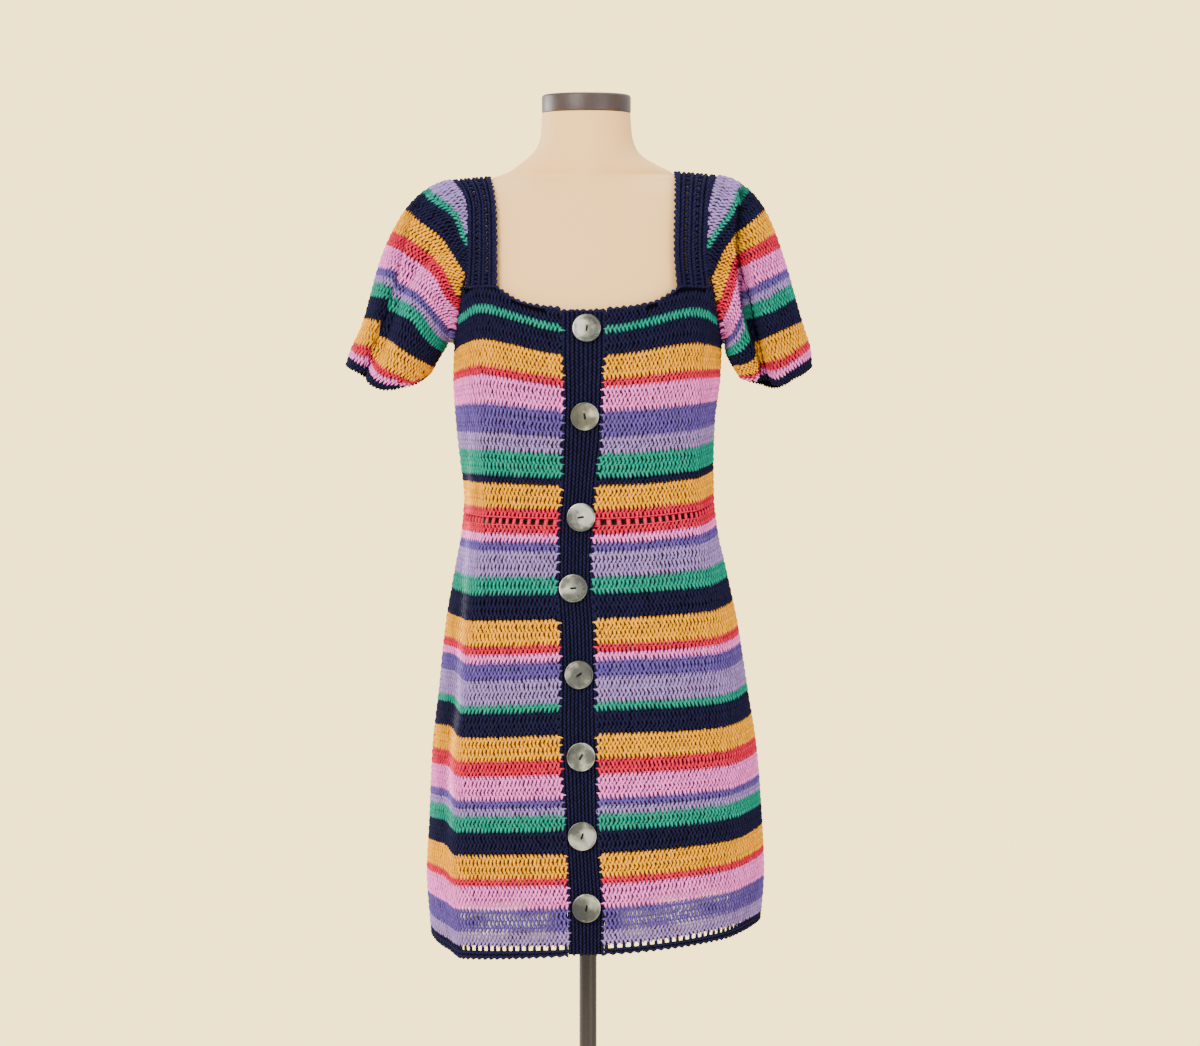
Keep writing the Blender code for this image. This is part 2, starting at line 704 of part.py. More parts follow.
def button(index, across, height, lean, turn):
    """Round shell button with a raised rim and a slot for its thread."""
    left = read(band, "height", "left", height)
    right = read(band, "height", "right", height)
    share = (across - left) / (right - left)
    row = row_at(height)
    normal = -normal_of(band_point, share, row, (0.1, 0.4))
    normal = Vector((math.sin(math.radians(lean)) * 0.5, 0.0, 0.0)) + normal
    normal.normalize()
    middle = band_point(share, row)
    reach = 0.0
    for k in range(32):
        bearing = 2 * math.pi * k / 32
        x = across + (button_radius - button_rim) * math.cos(bearing)
        z = height + (button_radius - button_rim) * math.sin(bearing)
        edges = [read(band, "height", name, z) for name in ("left", "right")]
        raised = rib((x - edges[0]) / (edges[1] - edges[0]))
        under = body_point(angle_at(x, z), z)
        reach = max(reach, (under - middle).dot(normal) + raised)
    profile = [
        (0.0, button_thickness - 0.0006),
        (button_radius - 2 * button_rim, button_thickness - 0.0004),
        (button_radius - button_rim, button_thickness),
        (button_radius - 0.3 * button_rim, button_thickness - 0.0006),
        (button_radius, 0.4 * button_thickness),
        (button_radius - button_rim, 0.0),
        (0.0, 0.0),
    ]
    place = middle + normal * (reach + 2 * seam_gap)
    facing = normal.to_track_quat("Z", "Y")
    name = f"button_{index}"
    made = turned(name, profile, shell, 16, place, facing)
    slot = bpy.data.meshes.new(name + "_slot")
    work = bmesh.new()
    bmesh.ops.create_cube(work, size=1.0)
    bmesh.ops.scale(work, vec=(slot_length, slot_width, button_thickness), verts=work.verts[:])
    work.to_mesh(slot)
    work.free()
    cutter = bpy.data.objects.new(name + "_slot", slot)
    cutters.objects.link(cutter)
    cutter.hide_render = True
    cutter.display_type = "WIRE"
    cutter.parent = made
    cutter.location = (0.0, 0.0, button_thickness)
    cutter.rotation_euler = (0.0, 0.0, math.radians(turn))
    cut = made.modifiers.new("Slot", "BOOLEAN")
    cut.operation = "DIFFERENCE"
    cut.object = cutter
    cut.solver = "EXACT"


def form_torso():
    """Limbless torso: a loft through its sections, closed at both ends."""
    sections = torso["height"]
    work = bmesh.new()
    steps = 24
    rings = []
    for height in sections:
        angles = [360.0 * k / steps for k in range(steps)]
        rings.append([work.verts.new(section_point(torso, angle, height)) for angle in angles])
    for low, high in zip(rings, rings[1:]):
        for k in range(steps):
            after = (k + 1) % steps
            work.faces.new((low[k], low[after], high[after], high[k]))
    work.faces.new(list(reversed(rings[0])))
    work.faces.new(rings[-1])
    bmesh.ops.recalc_face_normals(work, faces=work.faces[:])
    mesh = bpy.data.meshes.new("form_torso")
    work.to_mesh(mesh)
    work.free()
    add_object("form_torso", mesh, skin)


def form_stand():
    """Cap on the neck, pole under the torso and the round base on the floor."""
    bead = 0.0015
    cap_profile = [
        (0.0, cap_top),
        (cap_radius - 0.004, cap_top),
        (cap_radius - 0.001, cap_top - bead),
        (cap_radius, cap_top - 2 * bead),
        (cap_radius - 0.0006, cap_top - 3 * bead),
        (cap_radius, cap_bottom + 2 * bead),
        (cap_radius - 0.0015, cap_bottom),
        (0.0, cap_bottom),
    ]
    turned("form_neck_cap", cap_profile, satin, 24, (-0.0018, 0.0, 0.0))
    foot = base_height + collar_height
    pole_profile = [
        (0.0, torso_bottom - seam_gap),
        (pole_radius, torso_bottom - seam_gap),
        (pole_radius, foot + seam_gap),
        (0.0, foot + seam_gap),
    ]
    turned("form_pole", pole_profile, dark_metal, 16)
    base_profile = [
        (0.0, foot),
        (collar_radius - 0.004, foot),
        (collar_radius, foot - 0.003),
        (collar_radius + 0.001, base_height + 0.010),
        (collar_radius + 0.012, base_height),
        (base_radius - 0.020, base_edge + 0.004),
        (base_radius - 0.002, base_edge + 0.001),
        (base_radius, base_edge - 0.002),
        (base_radius - 0.001, 0.0),
        (0.0, 0.0),
    ]
    turned("form_base", base_profile, dark_metal, 32)


for old in list(bpy.data.objects):
    bpy.data.objects.remove(old, do_unlink=True)
parts = bpy.data.collections.new("crochet_dress_on_form")
cutters = bpy.data.collections.new("crochet_dress_cutters")
for collection in (parts, cutters):
    bpy.context.scene.collection.children.link(collection)

cloth = material("striped_crochet", (0.60, 0.30, 0.34), 0.9)
red_cloth = material("red_crochet", (0.78, 0.10, 0.12), 0.9)
navy = material("navy_crochet", (0.012, 0.014, 0.045), 0.9)
shell = material("button_shell", (0.42, 0.44, 0.36), 0.3)
skin = material("form_cover", (0.80, 0.66, 0.50), 0.55)
satin = material("cap_satin", (0.07, 0.045, 0.04), 0.35)
dark_metal = material("stand_metal", (0.04, 0.03, 0.027), 0.4, 0.6)

waist_rows = [waist_row, waist_row + waist_rail_share, skirt_row]
waist_holes = (waist_rows, 1, waist_hole_pitch, waist_hole_width, red_cloth)
hem_rows = [hem_row, hem_row + hem_post_share * (last_row - hem_row), last_row]
hem_holes = (hem_rows, 0, hem_hole_pitch, hem_hole_width, navy, picot_depth)

form_torso()
form_stand()
bodice_front("bodice_front_left", -1)
bodice_front("bodice_front_right", 1)
bodice_back()
skirt_panel("skirt_front_left", -1, 15)
skirt_panel("skirt_front_right", 1, 15)
skirt_panel("skirt_back", 0, 26)
for panel, panel_side in (("front_left", -1), ("front_right", 1), ("back", 0)):
    eyelet_row("waist_eyelets_" + panel, panel_side, *waist_holes)
    eyelet_row("hem_border_" + panel, panel_side, *hem_holes)
shoulder_strap("shoulder_strap_left", strap_left, -1)
shoulder_strap("shoulder_strap_right", strap_right, 1)
sleeve("sleeve_left", "cuff_left", sleeve_left, folds_left, strap_left, -1)
sleeve("sleeve_right", "cuff_right", sleeve_right, folds_right, strap_right, 1)
button_band()
for number, values in enumerate(zip(*buttons.values()), start=1):
    button(number, *values)
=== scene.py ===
import math

import bpy
from mathutils import Matrix, Vector
import numpy as np


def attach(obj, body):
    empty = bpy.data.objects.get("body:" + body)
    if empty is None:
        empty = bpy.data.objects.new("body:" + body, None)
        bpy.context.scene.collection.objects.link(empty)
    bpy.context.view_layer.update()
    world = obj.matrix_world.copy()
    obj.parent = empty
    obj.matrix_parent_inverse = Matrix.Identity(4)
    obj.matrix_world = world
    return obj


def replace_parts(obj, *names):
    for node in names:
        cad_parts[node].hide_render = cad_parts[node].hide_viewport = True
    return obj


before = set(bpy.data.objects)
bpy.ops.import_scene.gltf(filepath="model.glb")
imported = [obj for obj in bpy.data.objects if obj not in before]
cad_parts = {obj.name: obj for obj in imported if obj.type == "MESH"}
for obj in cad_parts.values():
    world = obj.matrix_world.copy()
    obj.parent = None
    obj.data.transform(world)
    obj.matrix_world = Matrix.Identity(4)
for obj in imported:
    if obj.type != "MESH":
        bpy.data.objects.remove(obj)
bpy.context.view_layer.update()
chance = np.random.default_rng(11)
print("frame loaded:", len(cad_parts), "nodes")


# numbers
def table(names, *rows):  # named columns, a row for each section
    return {name: np.array([row[i] for row in rows], float) for i, name in enumerate(names.split())}


def curve(at, knots, values):  # smooth line through the knots, with no overshoot, straight past its ends
    x = np.asarray(knots, float)
    order = np.argsort(x)
    x = x[order]
    at = np.asarray(at, float)
    flat = at.ravel()
    y = np.array([np.broadcast_to(np.ravel(v), flat.shape) for v in values])[order]
    chords = np.diff(y, axis=0) / np.diff(x)[:, None]
    product = chords[:-1] * chords[1:]
    middle = np.where(product > 0, 2 * product / np.where(product > 0, chords[:-1] + chords[1:], 1), 0)
    slopes = np.vstack([chords[:1], middle, chords[-1:]])
    k = np.clip(np.searchsorted(x, flat, side="right") - 1, 0, len(x) - 2)
    n = np.arange(flat.size)
    span = x[k + 1] - x[k]
    s = np.clip((flat - x[k]) / span, 0, 1)
    value = (2 * s**3 - 3 * s**2 + 1) * y[k, n] + (3 * s**2 - 2 * s**3) * y[k + 1, n]
    value += span * ((s**3 - 2 * s**2 + s) * slopes[k, n] + (s**3 - s**2) * slopes[k + 1, n])
    value += np.minimum(flat - x[0], 0) * slopes[0] + np.maximum(flat - x[-1], 0) * slopes[-1]
    return value.reshape(at.shape)


def read(columns, key, name, at):
    return curve(at, columns[key], columns[name])


def mix(a, b, share):
    return a + (b - a) * share


def ramp(value, start, end):
    share = np.clip((value - start) / (end - start), 0, 1)
    return share * share * (3 - 2 * share)


def powerOf(value, exponent):
    return np.sign(value) * np.abs(value) ** exponent


# the form of the dress, as the solids have it
dress = dict(
    waistRow=24, skirtRow=25, hemRow=77, lastRow=78.6,  # rows are counted down from the neckline
    seamAngle=0.06, armholeAngle=25.5, strapInnerAngle=51.0,  # degrees from the side
    bandPull=38.25,  # degrees from the side where a front's stitches begin to follow the band
    bustHeight=1.2, necklineHeight=1.22, bandGap=0.0003, sleeveGap=0.0006,
)
body = table(
    "height left right front back power",
    (0.540, 0.168, 0.184, 0.142, 0.146, 2.25),
    (0.594, 0.173, 0.189, 0.142, 0.146, 2.25),
    (0.648, 0.1765, 0.193, 0.141, 0.145, 2.25),
    (0.700, 0.174, 0.191, 0.138, 0.143, 2.3),
    (0.780, 0.1705, 0.185, 0.133, 0.138, 2.3),
    (0.850, 0.163, 0.1745, 0.126, 0.133, 2.3),
    (0.918, 0.156, 0.164, 0.116, 0.122, 2.35),
    (0.978, 0.146, 0.1515, 0.106, 0.108, 2.4),
    (1.020, 0.1385, 0.142, 0.099, 0.098, 2.4),
    (1.060, 0.1355, 0.138, 0.097, 0.092, 2.4),
    (1.095, 0.1395, 0.1375, 0.101, 0.089, 2.4),
    (1.140, 0.1445, 0.139, 0.110, 0.090, 2.4),
    (1.190, 0.1475, 0.145, 0.117, 0.094, 2.4),
    (1.225, 0.1465, 0.1465, 0.115, 0.098, 2.4),
    (1.260, 0.1475, 0.1475, 0.108, 0.100, 2.4),
    (1.300, 0.150, 0.150, 0.098, 0.099, 2.4),
)

rowLines = table(
    "row middle rightSide back leftSide leftRidge rightRidge",
    (-2.0, 1.2590, 0.000, 0.004, 0.002, 0.027, 0.023),
    (0.0, 1.2424, 0.002, 0.004, 0.004, 0.0255, 0.0215),
    (4.0, 1.2106, 0.010, 0.006, 0.0065, 0.0195, 0.0145),
    (8.0, 1.1770, 0.0135, 0.008, 0.0085, 0.014, 0.0095),
    (16.0, 1.1048, 0.0175, 0.010, 0.008, 0.005, 0.007),
    (24.5, 1.0309, 0.020, 0.012, 0.0072, 0.0025, 0.008),
    (33.0, 0.9536, 0.0195, 0.012, 0.0074, -0.0015, 0.007),
    (46.0, 0.8370, 0.0195, 0.012, 0.0085, -0.005, 0.0055),
    (62.0, 0.6994, 0.0245, 0.013, 0.010, -0.004, 0.0095),
    (69.0, 0.6406, 0.030, 0.014, 0.012, -0.004, 0.013),
    (77.0, 0.5758, 0.0305, 0.015, 0.0155, -0.0035, 0.0155),
    (78.6, 0.5650, 0.0315, 0.015, 0.016, -0.0065, 0.0145),
)

bodiceEdge = table(
    "angle front back",
    (0.0, 1.2255, 1.2255),
    (9.0, 1.2320, 1.2300),
    (17.0, 1.2500, 1.2480),
    (22.0, 1.2680, 1.2680),
    (25.5, 1.2855, 1.2960),
    (51.0, 1.2855, 1.2960),
    (55.0, 1.2800, 1.2945),
    (64.0, 1.2690, 1.2920),
    (75.0, 1.2625, 1.2910),
    (90.0, 1.2590, 1.2905),
)

bandEdges = table(
    "height left right",
    (0.565, -0.0209, 0.0176),
    (0.620, -0.0220, 0.0180),
    (0.655, -0.0231, 0.0154),
    (0.692, -0.0253, 0.0132),
    (0.757, -0.0286, 0.0121),
    (0.811, -0.0315, 0.0110),
    (0.864, -0.0303, 0.0099),
    (0.918, -0.0319, 0.0088),
    (0.959, -0.0341, 0.0058),
    (1.027, -0.0330, 0.0072),
    (1.067, -0.0300, 0.0099),
    (1.131, -0.0286, 0.0165),
    (1.167, -0.0275, 0.0176),
    (1.214, -0.0290, 0.0198),
    (1.260, -0.0290, 0.0200),
)

bodyFolds = table(
    "angle width depth top bottom",
    (221.0, 7.0, 0.0035, 1.20, 0.58),
    (322.0, 8.0, 0.0025, 1.16, 1.02),
    (207.0, 8.0, -0.0030, 0.90, 0.56),
    (240.0, 10.0, -0.0015, 0.86, 0.56),
    (333.0, 10.0, -0.0020, 0.82, 0.56),
    (38.0, 12.0, 0.0040, 0.88, 0.55),
    (62.0, 11.0, -0.0040, 0.86, 0.55),
    (100.0, 14.0, 0.0040, 0.84, 0.55),
    (134.0, 12.0, -0.0040, 0.88, 0.55),
    (158.0, 10.0, 0.0030, 0.86, 0.55),
)

strapLeft = table(
    "along inner outer innerDepth outerDepth innerHeight outerHeight",
    (0.00, -0.1008, -0.1331, -0.0830, -0.0590, 1.2858, 1.2858),
    (0.20, -0.1010, -0.1305, -0.0705, -0.0560, 1.3290, 1.3290),
    (0.35, -0.1025, -0.1305, -0.0510, -0.0440, 1.3740, 1.3710),
    (0.44, -0.1065, -0.1385, -0.0290, -0.0260, 1.4005, 1.3970),
    (0.50, -0.1100, -0.1475, 0.0000, 0.0000, 1.4100, 1.4065),
    (0.56, -0.1080, -0.1400, 0.0290, 0.0270, 1.4005, 1.3970),
    (0.66, -0.1035, -0.1310, 0.0540, 0.0480, 1.3740, 1.3710),
    (0.82, -0.1020, -0.1305, 0.0760, 0.0600, 1.3350, 1.3310),
    (1.00, -0.1010, -0.1331, 0.0840, 0.0600, 1.2963, 1.2963),
)

strapRight = table(
    "along inner outer innerDepth outerDepth innerHeight outerHeight",
    (0.00, 0.0985, 0.1331, -0.0840, -0.0590, 1.2858, 1.2858),
    (0.20, 0.0960, 0.1290, -0.0715, -0.0560, 1.3290, 1.3290),
    (0.35, 0.0970, 0.1310, -0.0520, -0.0440, 1.3760, 1.3730),
    (0.44, 0.0975, 0.1345, -0.0300, -0.0260, 1.4055, 1.4020),
    (0.50, 0.0975, 0.1385, 0.0000, 0.0000, 1.4155, 1.4120),
    (0.56, 0.0975, 0.1350, 0.0300, 0.0270, 1.4055, 1.4020),
    (0.66, 0.0975, 0.1315, 0.0550, 0.0480, 1.3760, 1.3730),
    (0.82, 0.0985, 0.1310, 0.0770, 0.0600, 1.3350, 1.3310),
    (1.00, 0.1010, 0.1331, 0.0840, 0.0600, 1.2963, 1.2963),
)

sleeveLeft = table(
    "along outer outerHeight inner innerHeight front back sag share",
    (0.00, -0.150, 1.4080, -0.148, 1.228, 0.062, 0.062, 0.0000, 0.00),
    (0.15, -0.176, 1.4000, -0.149, 1.229, 0.060, 0.060, 0.0000, 0.50),
    (0.30, -0.203, 1.3760, -0.151, 1.229, 0.058, 0.058, 0.0020, 0.85),
    (0.50, -0.2275, 1.3200, -0.153, 1.228, 0.057, 0.056, 0.0100, 1.00),
    (0.75, -0.2495, 1.2440, -0.158, 1.220, 0.058, 0.055, 0.0240, 1.00),
    (0.90, -0.2610, 1.2190, -0.166, 1.207, 0.056, 0.053, 0.0270, 1.00),
    (1.00, -0.2660, 1.2035, -0.172, 1.196, 0.052, 0.050, 0.0240, 1.00),
)

sleeveRight = table(
    "along outer outerHeight inner innerHeight front back sag share",
    (0.00, 0.142, 1.4130, 0.148, 1.228, 0.062, 0.062, 0.0000, 0.00),
    (0.15, 0.170, 1.4050, 0.149, 1.229, 0.060, 0.060, 0.0000, 0.50),
    (0.30, 0.196, 1.3790, 0.150, 1.229, 0.058, 0.058, 0.0020, 0.85),
    (0.50, 0.216, 1.3180, 0.150, 1.228, 0.056, 0.056, 0.0080, 1.00),
    (0.75, 0.237, 1.2445, 0.152, 1.216, 0.055, 0.055, 0.0180, 1.00),
    (0.90, 0.2445, 1.2200, 0.158, 1.204, 0.053, 0.053, 0.0230, 1.00),
    (1.00, 0.246, 1.2015, 0.164, 1.195, 0.050, 0.050, 0.0210, 1.00),
)

foldsLeft = table(
    "topAngle bottomAngle width depth start",
    (84.0, 48.0, 13.0, -0.012, 0.02),
    (112.0, 84.0, 18.0, 0.005, 0.05),
    (250.0, 262.0, 20.0, -0.008, 0.05),
    (300.0, 312.0, 18.0, -0.006, 0.20),
)

foldsRight = table(
    "topAngle bottomAngle width depth start",
    (86.0, 112.0, 15.0, -0.022, 0.02),
    (122.0, 142.0, 16.0, 0.005, 0.05),
    (48.0, 58.0, 22.0, -0.006, 0.05),
    (262.0, 250.0, 20.0, -0.009, 0.05),
    (310.0, 300.0, 18.0, -0.006, 0.20),
)

# where a sleeve's long fold lies
foldLineLeft = table(
    "height across",
    (1.1865, -0.2486), (1.2052, -0.2420), (1.2393, -0.2288), (1.2767, -0.2156),
    (1.3086, -0.2057), (1.3658, -0.1914), (1.3955, -0.1738), (1.4120, -0.1672),
)
foldLineRight = table(
    "height across",
    (1.1865, 0.1903), (1.2217, 0.1815), (1.2503, 0.1705), (1.2789, 0.1650),
    (1.3086, 0.1628), (1.3372, 0.1606), (1.3801, 0.1639), (1.4065, 0.1694),
)
# by side: the lap over the outer part, the dip behind it, and how far and how deep its painted shadow falls
foldSteps = {
    -1: dict(line=foldLineLeft, lap=0.0022, behind=-0.0032, reach=0.012, shadow=0.55, shadowReach=0.005),
    1: dict(line=foldLineRight, lap=0.0030, behind=-0.0060, reach=0.013, shadow=0.80, shadowReach=0.010),
}
lap = dict(edge=0.0009, front=(0.15, 0.45), begin=(0.06, 0.22))
gathers = dict(depth=0.0011, count=26, begin=(0.02, 0.10), fade=(0.42, 0.16), top=1.3, low=0.4)
foldFade = dict(body=0.08, sleeve=0.25)  # a fold comes in over this height, or share of a sleeve
armholeSteps = dict(strap=8, bodice=5)  # points along half a strap and along a side of the armhole
# beside the skirt's left ridge the rows run level, and drop at the ridge
leftRidge = dict(angle=205, level=0.62, dropped=0.15, begin=(34, 42), end=(76, 62))
rowSearch = dict(low=-14.0, high=84.0, halvings=18)

torso = table(
    "height left right front back power",
    (0.700, 0.128, 0.128, 0.098, 0.104, 2.1),
    (0.708, 0.137, 0.137, 0.107, 0.113, 2.15),
    (0.730, 0.143, 0.144, 0.113, 0.119, 2.2),
    (0.800, 0.146, 0.148, 0.117, 0.122, 2.2),
    (0.860, 0.146, 0.147, 0.115, 0.120, 2.25),
    (0.918, 0.142, 0.143, 0.107, 0.112, 2.3),
    (0.978, 0.134, 0.134, 0.098, 0.099, 2.3),
    (1.030, 0.127, 0.127, 0.090, 0.088, 2.3),
    (1.060, 0.125, 0.126, 0.088, 0.083, 2.3),
    (1.095, 0.128, 0.128, 0.092, 0.081, 2.3),
    (1.140, 0.135, 0.133, 0.101, 0.082, 2.3),
    (1.190, 0.141, 0.140, 0.110, 0.086, 2.3),
    (1.225, 0.1415, 0.1415, 0.108, 0.090, 2.3),
    (1.260, 0.142, 0.142, 0.100, 0.092, 2.3),
    (1.300, 0.1435, 0.1435, 0.089, 0.090, 2.3),
    (1.340, 0.1445, 0.1445, 0.075, 0.079, 2.2),
    (1.370, 0.1450, 0.1450, 0.062, 0.066, 2.0),
    (1.388, 0.1450, 0.1455, 0.055, 0.057, 1.7),
    (1.398, 0.1430, 0.1450, 0.052, 0.053, 1.35),
    (1.4035, 0.1210, 0.1400, 0.0505, 0.0505, 1.15),
    (1.4070, 0.1070, 0.1330, 0.0500, 0.0500, 1.10),
    (1.4095, 0.1030, 0.1200, 0.0500, 0.0500, 1.10),
    (1.4120, 0.0950, 0.0965, 0.0500, 0.0500, 1.15),
    (1.4160, 0.0860, 0.0900, 0.0500, 0.0500, 1.3),
    (1.4240, 0.0750, 0.0740, 0.0500, 0.0500, 1.5),
    (1.4310, 0.0660, 0.0620, 0.0495, 0.0495, 1.7),
    (1.4400, 0.0575, 0.0535, 0.0490, 0.0490, 1.9),
    (1.4550, 0.0520, 0.0485, 0.0485, 0.0485, 2.0),
    (1.4797, 0.0505, 0.0465, 0.0480, 0.0480, 2.0),
)

buttonPlaces = table(
    "across height lean turn",
    (-0.0012, 1.2392, 0.0, 80.0),
    (-0.0033, 1.1450, 0.0, 100.0),
    (-0.0073, 1.0350, -4.0, 8.0),
    (-0.0156, 0.9580, 0.0, 4.0),
    (-0.0095, 0.8650, 3.0, 35.0),
    (-0.0071, 0.7770, -4.0, 60.0),
    (-0.0060, 0.6920, 3.0, 70.0),
    (-0.0011, 0.6150, -8.0, 80.0),
)

# where the table of rows is read round the body
rowStations = ((0, "rightSide"), (90, "back"), (180, "leftSide"), (220, "leftRidge"), (270, None),
               (320, "rightRidge"), (360, "rightSide"))


def sided(columns, value, over, under, height):  # one column where the value is above nothing, else the other
    return np.where(value > 0, read(columns, "height", over, height), read(columns, "height", under, height))


def foldHeight(angle, height):
    moved = np.zeros_like(angle)
    for middle, width, depth, top, bottom in zip(*bodyFolds.values()):
        near = np.exp(-(((angle % 360 - middle) / width) ** 2))
        fade = foldFade["body"]
        moved += depth * near * ramp(height, top, top - fade) * ramp(height, bottom - fade, bottom)
    return moved


def sectionPoint(columns, angle, height):
    exponent = 2 / read(columns, "height", "power", height)
    across = powerOf(np.cos(np.radians(angle)), exponent)
    deep = powerOf(np.sin(np.radians(angle)), exponent)
    side = sided(columns, across, "right", "left", height)
    end = sided(columns, deep, "back", "front", height)
    return np.stack([across * side, deep * end, height], axis=-1)


def bodyPoint(angle, height):
    spot = sectionPoint(body, angle, height)
    flat = spot * (1, 1, 0)
    flat /= np.linalg.norm(flat, axis=-1, keepdims=True)
    return spot + flat * foldHeight(angle, height)[..., None]


def rowHeight(row, angle):
    turn = [a for a, name in rowStations]
    lift = [read(rowLines, "row", name, row) if name else np.zeros_like(row) for a, name in rowStations]
    dropped = ramp(row, *leftRidge["begin"]) * ramp(row, *leftRidge["end"])
    turn.insert(3, leftRidge["angle"])
    lift.insert(3, mix(lift[2], lift[3], mix(leftRidge["level"], leftRidge["dropped"], dropped)))
    turn = [a - 360 for a in turn[-4:-1]] + turn + [a + 360 for a in turn[1:3]]
    lift = lift[-4:-1] + lift + lift[1:3]
    return read(rowLines, "row", "middle", row) + curve(angle % 360, turn, lift)


def rowOf(angle, height):  # the row that passes through a place, found by halving
    low, high = np.full_like(height, rowSearch["low"]), np.full_like(height, rowSearch["high"])
    for _ in range(rowSearch["halvings"]):
        row = 0.5 * (low + high)
        above = rowHeight(row, angle) > height
        low, high = np.where(above, row, low), np.where(above, high, row)
    return 0.5 * (low + high)


def angleAt(across, height):
    side = sided(body, across, "right", "left", height)
    share = np.minimum(np.abs(across) / side, 1) ** (0.5 * read(body, "height", "power", height))
    return 270 + np.copysign(np.degrees(np.arcsin(share)), across)


def sideSeam(side):
    return 180 + dress["seamAngle"] if side < 0 else 360 - dress["seamAngle"]


def panelAngle(side, share, height):  # across the back, or from the side seam to the band's edge
    if side == 0:
        return mix(dress["seamAngle"], 180 - dress["seamAngle"], share)
    edge = read(bandEdges, "height", "left" if side < 0 else "right", height)
    return mix(sideSeam(side), angleAt(edge + side * dress["bandGap"], height), share)


def bodiceAngle(side, share, height):
    followed = panelAngle(side, share, height)
    if side == 0:
        return followed
    return mix(mix(sideSeam(side), 270, share), followed, ramp(share * 90, dress["bandPull"], 90))


def bodiceTop(angle):
    turn = angle % 180
    fromSide = np.minimum(turn, 180 - turn)
    front = read(bodiceEdge, "angle", "front", fromSide)
    back = read(bodiceEdge, "angle", "back", fromSide)
    return np.where(angle % 360 < 180, back, front)


def bodiceRowPoint(side):  # place at a share of a bodice panel's width, on a row
    def point(share, row):
        angle = bodiceAngle(side, share, np.full_like(share, dress["bustHeight"]))
        angle = bodiceAngle(side, share, rowHeight(row, angle))
        return bodyPoint(angle, rowHeight(row, angle))
    return point


def skirtRowPoint(side):
    def point(share, row):
        angle = panelAngle(side, share, read(rowLines, "row", "middle", row))
        return bodyPoint(angle, rowHeight(row, angle))
    return point


def bandPoint(across, row):
    height = rowHeight(row, np.full_like(row, 270.0))
    x = mix(read(bandEdges, "height", "left", height), read(bandEdges, "height", "right", height), across)
    return bodyPoint(angleAt(x, height), height)


def strapPoint(columns):
    def point(across, along):
        inner = [read(columns, "along", name, along) for name in ("inner", "innerDepth", "innerHeight")]
        outer = [read(columns, "along", name, along) for name in ("outer", "outerDepth", "outerHeight")]
        return np.stack([mix(a, b, across) for a, b in zip(inner, outer)], axis=-1)
    return point


def armholeRing(columns, side):  # shoulder, front, under the arm and up the back
    top, low = armholeSteps["strap"], armholeSteps["bodice"]
    half = [0.5 * math.sin(0.5 * math.pi * k / top) for k in range(top)]
    alongs = np.array(half + [0.5] + [1 - along for along in reversed(half)])
    edge = strapPoint(columns)(np.ones(len(alongs)), alongs)
    turns = dress["armholeAngle"] * (1 - np.arange(low + 1) / low)
    angle = np.concatenate([180 + turns, 180 - turns[-2::-1]] if side < 0 else [360 - turns, turns[-2::-1]])
    return np.concatenate([edge[top:0:-1], bodyPoint(angle, bodiceTop(angle)), edge[-2:top:-1]])


def foldAway(spot, side):  # distance from the long fold, more than nothing on its outer side
    return side * (spot[..., 0] - read(foldSteps[side]["line"], "height", "across", spot[..., 2]))


def sleeveSurface(columns, folds, strap, side):
    ring = armholeRing(strap, side)
    step = foldSteps[side]
    names = ("outer", "outerHeight", "inner", "innerHeight", "front", "back", "sag", "share")

    def point(turn, along):
        outer, outerZ, inner, innerZ, front, back, sag, share = (
            read(columns, "along", name, along) for name in names)
        c, s = np.cos(np.radians(turn)), np.sin(np.radians(turn))
        wide = np.stack([mix(inner, outer, 0.5 + 0.5 * c), -s * np.where(s > 0, front, back),
                         mix(innerZ, outerZ, 0.5 + 0.5 * c) - sag * s * s], axis=-1)
        around = turn / 360 * len(ring)
        k = np.floor(around).astype(int)
        seam = mix(ring[k % len(ring)], ring[(k + 1) % len(ring)], (around - k)[..., None])
        seam[..., 0] += side * dress["sleeveGap"]
        spot = mix(seam, wide, np.clip(share, 0, 1)[..., None])
        middle = np.stack([mix(inner, outer, 0.5), 0 * inner, mix(innerZ, outerZ, 0.5)], axis=-1)
        moved = np.zeros_like(turn)
        for top, bottom, width, depth, start in zip(*folds.values()):
            away = (turn - mix(top, bottom, along) + 180) % 360 - 180
            moved += depth * np.exp(-((away / width) ** 2)) * ramp(along, start, start + foldFade["sleeve"])
        # fine gathers at the shoulder seam, and soft creases that run down from them
        gather = gathers["depth"] * np.sin(np.radians(turn * gathers["count"]))
        gather = gather * ramp(along, *gathers["begin"]) * ramp(along, *gathers["fade"])
        moved += gather * np.clip(gathers["top"] * c + gathers["low"], 0, 1)
        away = foldAway(spot, side)
        lapped = mix(step["lap"], step["behind"], ramp(away, -lap["edge"], lap["edge"]))
        lapped = lapped * np.exp(-((away / step["reach"]) ** 2))
        moved += lapped * ramp(s, *lap["front"]) * ramp(along, *lap["begin"])
        out = spot - middle
        return spot + out / np.linalg.norm(out, axis=-1, keepdims=True) * moved[..., None]
    return point


def normalsOf(point, u, v, du, dv, sense):
    along = point(u + du, v) - point(u - du, v)
    down = point(u, v + dv) - point(u, v - dv)
    normal = sense * np.cross(along, down)
    return normal / np.linalg.norm(normal, axis=-1, keepdims=True)


# how far a surface's slope is felt to both sides, in the two measures that its point function takes
reaches = dict(drop=(0.004, 0.004), rows=(0.004, 0.2), eyelets=(0.004, 0.1), strap=(0.02, 0.004),
               strapEnd=(0.02, 0.003), sleeve=(3.0, 0.01), sleeveRows=(3.0, 0.2), band=(0.05, 0.2),
               bandRows=(0.02, 0.2), button=(0.1, 0.4))


